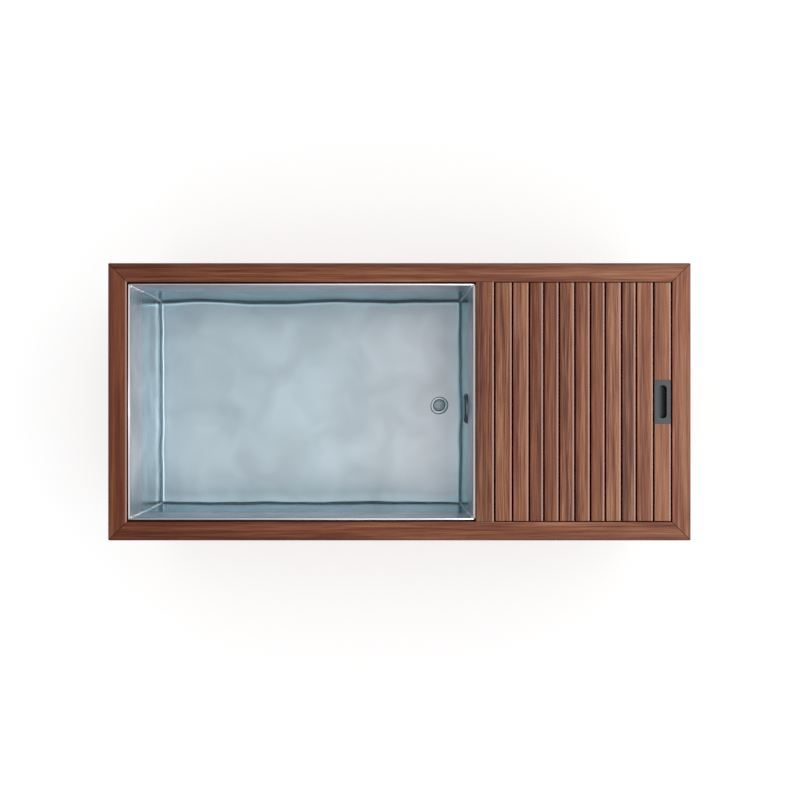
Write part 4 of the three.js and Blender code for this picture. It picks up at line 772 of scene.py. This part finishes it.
# screws: low button heads with a hexagon socket
screws = {
    "radius": 0.0042,
    "height": 0.0018,
    "bed": 0.0004,
    "head": ((1.0, 0.35), (0.93, 0.62), (0.78, 0.86), (0.58, 1.0)),  # shares of the radius and of the height
    "socket": ((0.50, 0.97), (0.48, 0.40)),
    "socketFloor": 0.34,
    "hatchInset": 0.012,
    "bearerInset": 0.010,
    "blockInset": 0.010,
    "blockRise": 0.009,
    "blockGap": 0.002,  # between the slats' ends and the pivot blocks
    "caseLength": 0.420,  # without the two hose spigots, which stand out of its left side
    "caseInset": 0.016,
    "caseRise": 0.030,
}


def screwHead(scale):
    r, h, bed = screws["radius"] * scale, screws["height"] * scale, screws["bed"]
    rows = [(0, -bed), (r, -bed)] + [(r * out, h * up) for out, up in screws["head"]]
    rows += [(r * out, h * up, math.cos(math.pi / 6)) for out, up in screws["socket"]]
    return turnedRings(rows + [(0, h * screws["socketFloor"])], sides=12)


def addScrews(name, places, body, scale=1.0):
    heads = [placed(screwHead(scale), facing(place, way)) for place, way in places]
    addPiece(name, gather(heads), "fitting_steel", body=body)


def allScrews():
    underHatch = []
    for side in ("back", "front"):
        low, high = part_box(f"lid_bearer_{side}")
        inner = high.y - screws["bearerInset"] if side == "front" else low.y + screws["bearerInset"]
        for i in range(1, 12):
            slatLow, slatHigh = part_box(f"lid_slat_{i:02d}")
            x = (slatLow.x + slatHigh.x) / 2
            if low.x + screws["hatchInset"] < x < high.x - screws["hatchInset"]:
                underHatch.append(((x, inner, low.z), (0, 0, -1)))
    addScrews("bearer_screws", underHatch, "hatch")

    blockScrews = []
    for side, inward in (("back", -1), ("front", 1)):
        low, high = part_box(f"pivot_block_{side}")
        inner = -inward * (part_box("lid_slat_01")[1].y + screws["blockGap"])
        for x in (low.x + screws["blockInset"], high.x - screws["blockInset"]):
            blockScrews.append(((x, inner, low.z + screws["blockRise"]), (0, inward, 0)))
    addScrews("pivot_block_screws", blockScrews, "tub", 0.8)

    low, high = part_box("chiller_case")
    inset, rise = screws["caseInset"], screws["caseRise"]
    xs = (high.x - screws["caseLength"] + inset, high.x - inset)
    caseScrews = [((x, y, high.z), (0, 0, 1)) for x in xs for y in (low.y + inset, high.y - inset)]
    caseScrews += [((x, low.y, z), (0, -1, 0)) for x in xs for z in (low.z + rise, high.z - rise)]
    addScrews("chiller_screws", caseScrews, "tub")


allScrews()
print("screws set")

# drain: turned flange with its cup and pipe, a black gasket round it and a slotted strainer
# profiles are (radius, height) over the floor, over the seat and over the strainer's underside
drain = {
    "flange": 0.0338,
    "flangeBevel": (0.0014, 0.0008),
    "flangeGap": 0.0003,  # above the floor
    "seat": 0.0255,
    "seatDrop": 0.0060,
    "seatBevel": 0.001,
    "well": 0.0200,
    "cup": 0.0300,
    "cupFloor": 0.0040,
    "pipe": 0.0150,
    "pipeLap": 0.97,  # the pipe starts at this share of the cup's radius
    "teeRadius": 0.0200,
    "gasket": ((0.0339, -0.0002), (0.0362, -0.0002), (0.0362, 0.0007), (0.0356, 0.0016), (0.0345, 0.0016),
               (0.0339, 0.0007)),
    "seatRing": ((0.0218, 0), (0.0253, 0), (0.0253, 0.0006), (0.0247, 0.0012), (0.0224, 0.0012),
                 (0.0218, 0.0006)),  # black gasket that the strainer lies in
    "strainer": ((0.0172, 0), (0.0216, 0), (0.0216, 0.0030), (0.0200, 0.0040), (0.0182, 0.0044),
                 (0.0172, 0.0038)),
    "bars": (0.0180, 0.0056, 0.0042, 0.0004, 0.0037),  # reach, pitch, width, underside, top
    "sides": 72,
}


# straight bars across a round opening, each let into the ring round it
def barsAcross(radius, pitch, width, low, high):
    shapes = []
    count = int(radius / pitch)
    for i in range(-count, count + 1):
        y = i * pitch
        half = math.sqrt(max(radius ** 2 - y ** 2, 0))
        if half > width:
            shapes.append(boxShape((-half, y - width / 2, low), (half, y + width / 2, high)))
    return shapes


def drainFitting():
    low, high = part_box("drain_body")
    top, bottom = high.z, low.z
    cupFloor, flangeBottom = bottom + drain["cupFloor"], basin["floor"] + drain["flangeGap"]
    seat, seatRadius, bevel = top - drain["seatDrop"], drain["seat"], drain["seatBevel"]
    across, down = drain["flangeBevel"]
    cup = turnedRings([
        (0, cupFloor), (drain["well"], cupFloor), (drain["well"], seat), (seatRadius, seat),
        (seatRadius, top - bevel), (seatRadius + bevel, top), (drain["flange"] - across, top),
        (drain["flange"], top - down), (drain["flange"], flangeBottom), (drain["cup"], flangeBottom),
        (drain["cup"], bottom), (0, bottom)], drain["sides"])
    strainerLow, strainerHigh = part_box("drain_strainer")
    x, y, _ = (strainerLow + strainerHigh) / 2
    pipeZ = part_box("suction_tee")[0].z + drain["teeRadius"]
    ends = [Vector((end, y, pipeZ)) for end in (x + drain["cup"] * drain["pipeLap"], high.x)]
    pipe = tubeRings(ends, [drain["pipe"]] * 2, sides=40)
    flange = gather([placed(cup, Matrix.Translation((x, y, 0))), pipe])
    piece = addPiece("drain_flange", flange, "fitting_steel", flangeSteel)
    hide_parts("drain_body")

    rings = []
    for kind, base in (("gasket", basin["floor"]), ("seatRing", seat)):
        rings.append(placed(closedRing(drain[kind], drain["sides"]), Matrix.Translation((x, y, base))))
    addPiece("drain_gaskets", gather(rings), "seal_rubber")

    shapes = [closedRing(drain["strainer"], drain["sides"]), *barsAcross(*drain["bars"])]
    grating = placed(gather(shapes), Matrix.Translation((x, y, strainerLow.z)))
    piece = addPiece("drain_grating", grating, "fitting_steel", strainerSteel, edge=0.0003)
    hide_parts("drain_strainer")


drainFitting()
print("drain made")

# return cover on the right wall: domed ring with bars across; profiles are (radius, height over the crown)
returnCover = {
    "front": ((0.039, -0.0052), (0.039, -0.0012), (0.040, -0.0006), (0.04524, -0.0016), (0.04988, -0.0028),
              (0.05452, -0.0046), (0.05713, -0.0064), (0.058, -0.0085)),
    "foot": (0.058, 0.04988),  # outside and inside, where it stands on the wall
    "back": (0.0493, -0.0058),
    "seal": ((0.0462, -0.0030), (0.0462, -0.0009), (0.04988, -0.0021), (0.0530, -0.0033), (0.0530, -0.0054)),
    "bars": (0.0396, 0.0078, 0.0058, -0.0043, -0.0008),  # reach, pitch, width, underside, top
    "sides": 96,
}


def returnDome():
    low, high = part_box("return_cover")
    place = facing((low.x, (low.y + high.y) / 2, (low.z + high.z) / 2), (-1, 0, 0))
    foot = [(radius, low.x - high.x) for radius in returnCover["foot"]]
    ring = closedRing([*returnCover["front"], *foot, returnCover["back"]], returnCover["sides"])
    dome = placed(gather([ring, *barsAcross(*returnCover["bars"])]), place)
    piece = addPiece("return_dome", dome, "fitting_steel", domeSteel, edge=0.0004)
    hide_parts("return_cover")
    seal = placed(closedRing(returnCover["seal"], returnCover["sides"]), place)
    addPiece("return_seal", seal, "seal_rubber")


returnDome()
print("return cover made")

# fan guard: thin rings and spokes, moulded in black, on the chiller's lid and held by four clips
guard = {
    "rings": (0.064, 0.084, 0.104, 0.124, 0.144, 0.164),
    "turns": 96,
    "wire": 0.0019,
    "wireSides": 10,
    "spokes": 6,
    "spokeStart": 0.0396,
    "hubFoot": ((0, 0), (0.042, 0), (0.044, 0.001)),  # radius, height over the underside
    "hubTop": ((0.044, 0.0016), (0.041, 0.0004), (0.036, 0.0004), (0.034, 0.0012), (0.028, 0.0012),
               (0.026, 0), (0, 0)),  # radius, drop from the top
    "clips": 4,
    "clipReach": (0.157, 0.184),
    "clipStep": (0.1700, 0.1720, 0.1704, 0.1690),  # bends of its upper side, going down, and of its underside
    "clipScrew": 0.17825,
    "clipWidth": 0.016,
    "clipThickness": 0.0016,
}


def fanGuard():
    low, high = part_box("fan_guard")
    centre = (low + high) / 2
    wire, turns = guard["wire"], guard["turns"]
    shapes = []
    for radius in guard["rings"]:
        path = [centre + onCircle(i, turns, radius) for i in range(turns)]
        shapes.append(tubeRings(path, [wire] * turns, guard["wireSides"], closed=True))
    for i in range(guard["spokes"]):
        way = onCircle(i, guard["spokes"])
        ends = [centre + way * guard["spokeStart"], centre + way * guard["rings"][-1]]
        shapes.append(tubeRings(ends, [wire] * 2, guard["wireSides"]))
    hub = [(radius, low.z + up) for radius, up in guard["hubFoot"]]
    hub += [(radius, high.z - down) for radius, down in guard["hubTop"]]
    middle = Matrix.Translation((centre.x, centre.y, 0))
    shapes.append(placed(turnedRings(hub, sides=64), middle))
    piece = addPiece("fan_guard_wires", gather(shapes), "black_plastic")
    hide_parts("fan_guard")

    w, t = guard["clipWidth"] / 2, guard["clipThickness"]
    start, end = guard["clipReach"]
    upper, lower, lowerUnder, upperUnder = guard["clipStep"]
    ringTop, caseTop = high.z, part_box("chiller_case")[1].z
    section = [(start, ringTop), (start, ringTop + t), (upper, ringTop + t), (lower, caseTop + t),
               (end, caseTop + t), (end, caseTop), (lowerUnder, caseTop), (upperUnder, ringTop)]
    clip = [Vector((x, y, z)) for y in (-w, w) for x, z in section], ringFaces(2, len(section))
    clips, clipScrews = [], []
    for i in range(guard["clips"]):
        turn = middle @ Matrix.Rotation(math.pi / 4 + i * math.pi / 2, 4, "Z")
        clips.append(placed(clip, turn))
        clipScrews.append((turn @ Vector((guard["clipScrew"], 0, caseTop + t)), (0, 0, 1)))
    addPiece("guard_clips", gather(clips), "black_plastic", edge=0.0003)
    addScrews("guard_screws", clipScrews, "tub", 0.85)


fanGuard()
print("fan guard made")

# hoses: ribbed, each held at both ends by a fluted nut; routes as in the model, in metres
hoses = {
    "suction_hose": ((0.4083, -0.015, 0.07025), (0.110, 0, 0), (-0.055, 0, 0), (0.5317, -0.322, 0.1443)),
    "pressure_hose": ((0.609, -0.322, 0.2446), (0, 0, 0.074), (0.066, 0, 0), (0.4843, -0.276, 0.3186)),
    "filter_hose": ((0.396, -0.1877, 0.3186), (0, 0.132, 0), (-0.110, 0, 0), (0.5157, 0.120, 0.2386)),
    "return_hose": ((0.5157, 0.302, 0.3486), (-0.110, 0, 0), (0.110, 0, 0), (0.3466, -0.025, 0.45396)),
}
hoseSizes = {
    "rib": 0.0160,
    "groove": 0.0138,
    "pitch": 0.0075,
    "ringsPerRib": 6,
    "ribFullness": 0.7,
    "sides": 24,
    "nut": 0.0205,
    "nutLength": 0.026,
    "nutShape": ((0.0, 0.94), (0.06, 1.0), (0.35, 1.0), (0.66, 1.0), (0.70, 0.97), (1.0, 0.86)),  # shares
    "flutes": (12, 0.022),
}


def hoseCurve(start, startPull, endPull, end, steps=400):
    a, d = Vector(start), Vector(end)
    b, c = a + Vector(startPull), d + Vector(endPull)
    points = []
    for i in range(steps + 1):
        t = i / steps
        points.append(a * (1 - t) ** 3 + b * 3 * t * (1 - t) ** 2 + c * 3 * t * t * (1 - t) + d * t ** 3)
    return points


# points at even distances along a route
def evenly(route, spacing):
    lengths = [0.0]
    for before, after in zip(route, route[1:]):
        lengths.append(lengths[-1] + (after - before).length)
    count = max(2, round(lengths[-1] / spacing))
    even, k = [], 0
    for i in range(count + 1):
        want = lengths[-1] * i / count
        while k < len(lengths) - 2 and lengths[k + 1] < want:
            k += 1
        share = (want - lengths[k]) / max(lengths[k + 1] - lengths[k], 1e-9)
        even.append(route[k].lerp(route[k + 1], share))
    return even, lengths[-1]


def ribbedHose(name, route):
    path, length = evenly(hoseCurve(*route), hoseSizes["pitch"] / hoseSizes["ringsPerRib"])
    step = length / (len(path) - 1)
    depth = hoseSizes["rib"] - hoseSizes["groove"]
    radii = []
    for i in range(len(path)):
        wave = 0.5 + 0.5 * math.cos(2 * math.pi * i * step / hoseSizes["pitch"])
        radii.append(hoseSizes["groove"] + depth * wave ** hoseSizes["ribFullness"])
    piece = addPiece(name + "_ribbed", tubeRings(path, radii, hoseSizes["sides"]), "hose")
    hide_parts(name)
    count = round(hoseSizes["nutLength"] / step)
    nutRadii = [hoseSizes["nut"] * share for _, share in hoseSizes["nutShape"]]
    nuts = []
    for end in (path, path[::-1]):
        places = [end[round(count * along)] for along, _ in hoseSizes["nutShape"]]
        nuts.append(tubeRings(places, nutRadii, sides=72, flutes=hoseSizes["flutes"]))
    addPiece(name + "_nuts", gather(nuts), "black_plastic")
    return length


for name, route in hoses.items():
    print(name, "length", round(ribbedHose(name, route), 4))

# control box: smoked display glass in its recess, a bright ring round the power button
control = {
    "glass": (0.0945, 0.0385, 0.0014),
    "glassBed": 0.0001,
    "recess": 0.0020,
    "shift": 0.042,
    "buttonRing": ((0.0119, -0.0002), (0.0142, -0.0002), (0.0142, 0.00045), (0.0136, 0.0009),
                   (0.0123, 0.0009), (0.0119, 0.00054)),  # radius, height over the face
    "buttonShift": -0.066,
    "depths": (0.076, 0.034),
    "screws": (0.102, 0.045),  # from the middle of the face
}


# smoked acrylic, polished: near black, with a clean reflection and faint smears from wiping
def smokedAcrylic():
    material, add, shader = newMaterial("acrylic_smoked", {
        "Base Color": hexColour("#0b1013"), "IOR": 1.49, "Coat Weight": 0.6, "Coat Roughness": 0.04})
    place = add("TexCoord").outputs["Object"]
    smears = add("TexNoise", {"Scale": 1.0, "Detail": 2.0}, {
        "Vector": scaledBy(add, place, (0.030, 0.006, 0.006))})
    rough = add("MapRange", limits(0.3, 0.7, 0.05, 0.14), {"Value": smears})
    join(shader, {"Roughness": rough})
    return material


def controlFace():
    low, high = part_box("control_box")
    deep, shallow = control["depths"]
    slope = math.atan2(deep - shallow, high.z - low.z)
    out, up = Vector((0, math.cos(slope), math.sin(slope))), Vector((0, -math.sin(slope), math.cos(slope)))
    middle = Vector(((low.x + high.x) / 2, low.y + (deep + shallow) / 2, (low.z + high.z) / 2))
    turn = Matrix((Vector((1, 0, 0)), up, out)).transposed().to_4x4()
    width, tall, thick = control["glass"]
    onFace = Matrix.Translation(middle + Vector((control["shift"], 0, 0)) - out * control["recess"]) @ turn
    glass = boxShape((-width / 2, -tall / 2, -control["glassBed"]), (width / 2, tall / 2, thick))
    addPiece("display_glass", placed(glass, onFace), "black_plastic", smokedAcrylic(), edge=0.0004)
    onFace = Matrix.Translation(middle + Vector((control["buttonShift"], 0, 0))) @ turn
    addPiece("button_ring", placed(closedRing(control["buttonRing"], sides=64), onFace), "fitting_steel")
    aside, above = control["screws"]
    corners = [(x, y) for x in (-aside, aside) for y in (-above, above)]
    places = [(middle + Vector((x, 0, 0)) + up * y, tuple(out)) for x, y in corners]
    addScrews("control_screws", places, "tub", 0.75)


controlFace()
print("control face made")

# mitres of the rim: dark joint in the small groove between two boards
mitre = {"width": 0.0032, "depth": 0.00006, "tall": 0.0022, "inset": 0.004, "start": 0.0005}


def mitreJoints():
    (innerX, _, _), (outerX, _, _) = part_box("rim_right")
    (_, innerY, _), (_, outerY, top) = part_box("rim_back")
    top -= mitre["depth"]
    down = Vector((0, 0, -mitre["tall"]))
    shapes = []
    for sx in (-1, 1):
        for sy in (-1, 1):
            start = Vector((sx * (innerX + mitre["start"]), sy * (innerY + mitre["start"]), top))
            end = Vector((sx * (outerX - mitre["inset"]), sy * (outerY - mitre["inset"]), top))
            side = (end - start).cross(Vector((0, 0, 1))).normalized() * mitre["width"] / 2
            points = [start - side, start + side, end + side, end - side]
            shapes.append((points + [p + down for p in points], ringFaces(2, 4)))
    glue = grainedStuff("wood_glue_dark", "#0d0605", 0.0012, 0.85, 0.00005, gloss=0.1)  # matt, almost black
    addPiece("mitre_joints", gather(shapes), "seal_rubber", glue, sharp=None)


mitreJoints()
print("mitres filled")

# studio: white floor, one wide soft light to the right and a pale surround that is brighter on that side
studio = {
    "floorSize": 14.0,
    "floorDrop": 0.0005,
    "paper": 0.85,
    "paperGlow": 0.55,
    "surroundTurn": 0.8,  # how far to the left and right the surround changes
    "surroundStops": (0.1, 0.5, 0.9),
    "surround": (0.42, 0.62, 0.78),  # from the left, from above and from the right
    "surroundShown": (0.45, 1.0, 1.15),
    "softbox": {"place": (3.2, 0.0, 2.9), "aim": (0.3, 0.0, 0.6), "size": (2.4, 2.0), "power": 74.0},
}


# the rays that see a thing straight, and those that see it mirrored or through water
def shownRays(add):
    path = add("LightPath")
    mirrored = add("Math MAXIMUM", None, {
        0: path.outputs["Is Glossy Ray"], 1: path.outputs["Is Transmission Ray"]})
    return path.outputs["Is Camera Ray"], mirrored


# paper, white and matt: it glows a little to the eye, so that it shows as a clean white ground
def studioFloor():
    half = studio["floorSize"] / 2
    mesh = bpy.data.meshes.new("studio_floor")
    corners = [(-half, -half, 0), (half, -half, 0), (half, half, 0), (-half, half, 0)]
    mesh.from_pydata(corners, [], [(0, 1, 2, 3)])
    floor = bpy.data.objects.new("studio_floor", mesh)
    floor.location.z = -studio["floorDrop"]
    scene.collection.objects.link(floor)
    material = bpy.data.materials.new("paper_white_backdrop")
    add = emptyTree(material)
    straight, mirrored = shownRays(add)
    shown = add("Math MAXIMUM", None, {0: straight, 1: mirrored})
    strength = add("Math MULTIPLY", {1: studio["paperGlow"]}, {0: shown})
    paper = add("BsdfDiffuse", {"Color": grey(studio["paper"])})
    glow = add("Emission", {"Color": grey(1.0)}, {"Strength": strength})
    both = add("AddShader", None, {0: paper, 1: glow})
    add("OutputMaterial", None, {"Surface": both})
    mesh.materials.append(material)
    return floor


def studioLight(floor):
    world = bpy.data.worlds.new("pale_surround")
    scene.world = world
    add = emptyTree(world)
    way = add("TexCoord").outputs["Generated"]
    parts = add("SeparateXYZ", None, {0: way})
    turn = studio["surroundTurn"]
    side = add("MapRange", limits(-turn, turn), {"Value": parts.outputs["X"]})
    ramps = []
    for kind in ("surround", "surroundShown"):
        ramps.append(add("ValToRGB", None, {0: side}))
        setRamp(ramps[-1], zip(studio["surroundStops"], map(grey, studio[kind])))
    straight, mirrored = shownRays(add)
    inMirror = add("Mix", blend, {0: mirrored, 6: ramps[0], 7: ramps[1]})
    toEye = add("Mix", {**blend, 7: grey(1.0)}, {0: straight, 6: inMirror})
    back = add("Background", None, {"Color": toEye})
    add("OutputWorld", None, {"Surface": back})
    softbox = studio["softbox"]
    lamp = bpy.data.lights.new("softbox", "AREA")
    lamp.shape = "RECTANGLE"
    lamp.size, lamp.size_y = softbox["size"]
    lamp.energy = softbox["power"]
    light = bpy.data.objects.new("softbox", lamp)
    light.location = softbox["place"]
    aim = Vector(softbox["aim"]) - Vector(softbox["place"])
    light.rotation_euler = aim.to_track_quat("-Z", "Y").to_euler()
    light.visible_camera = False
    scene.collection.objects.link(light)
    unlit = bpy.data.collections.new("not_lit_by_softbox")  # the softbox throws no shadow on the floor
    unlit.objects.link(floor)
    light.light_linking.receiver_collection = unlit
    unlit.collection_objects[0].light_linking.link_state = "EXCLUDE"


studioLight(studioFloor())
print("studio lit")
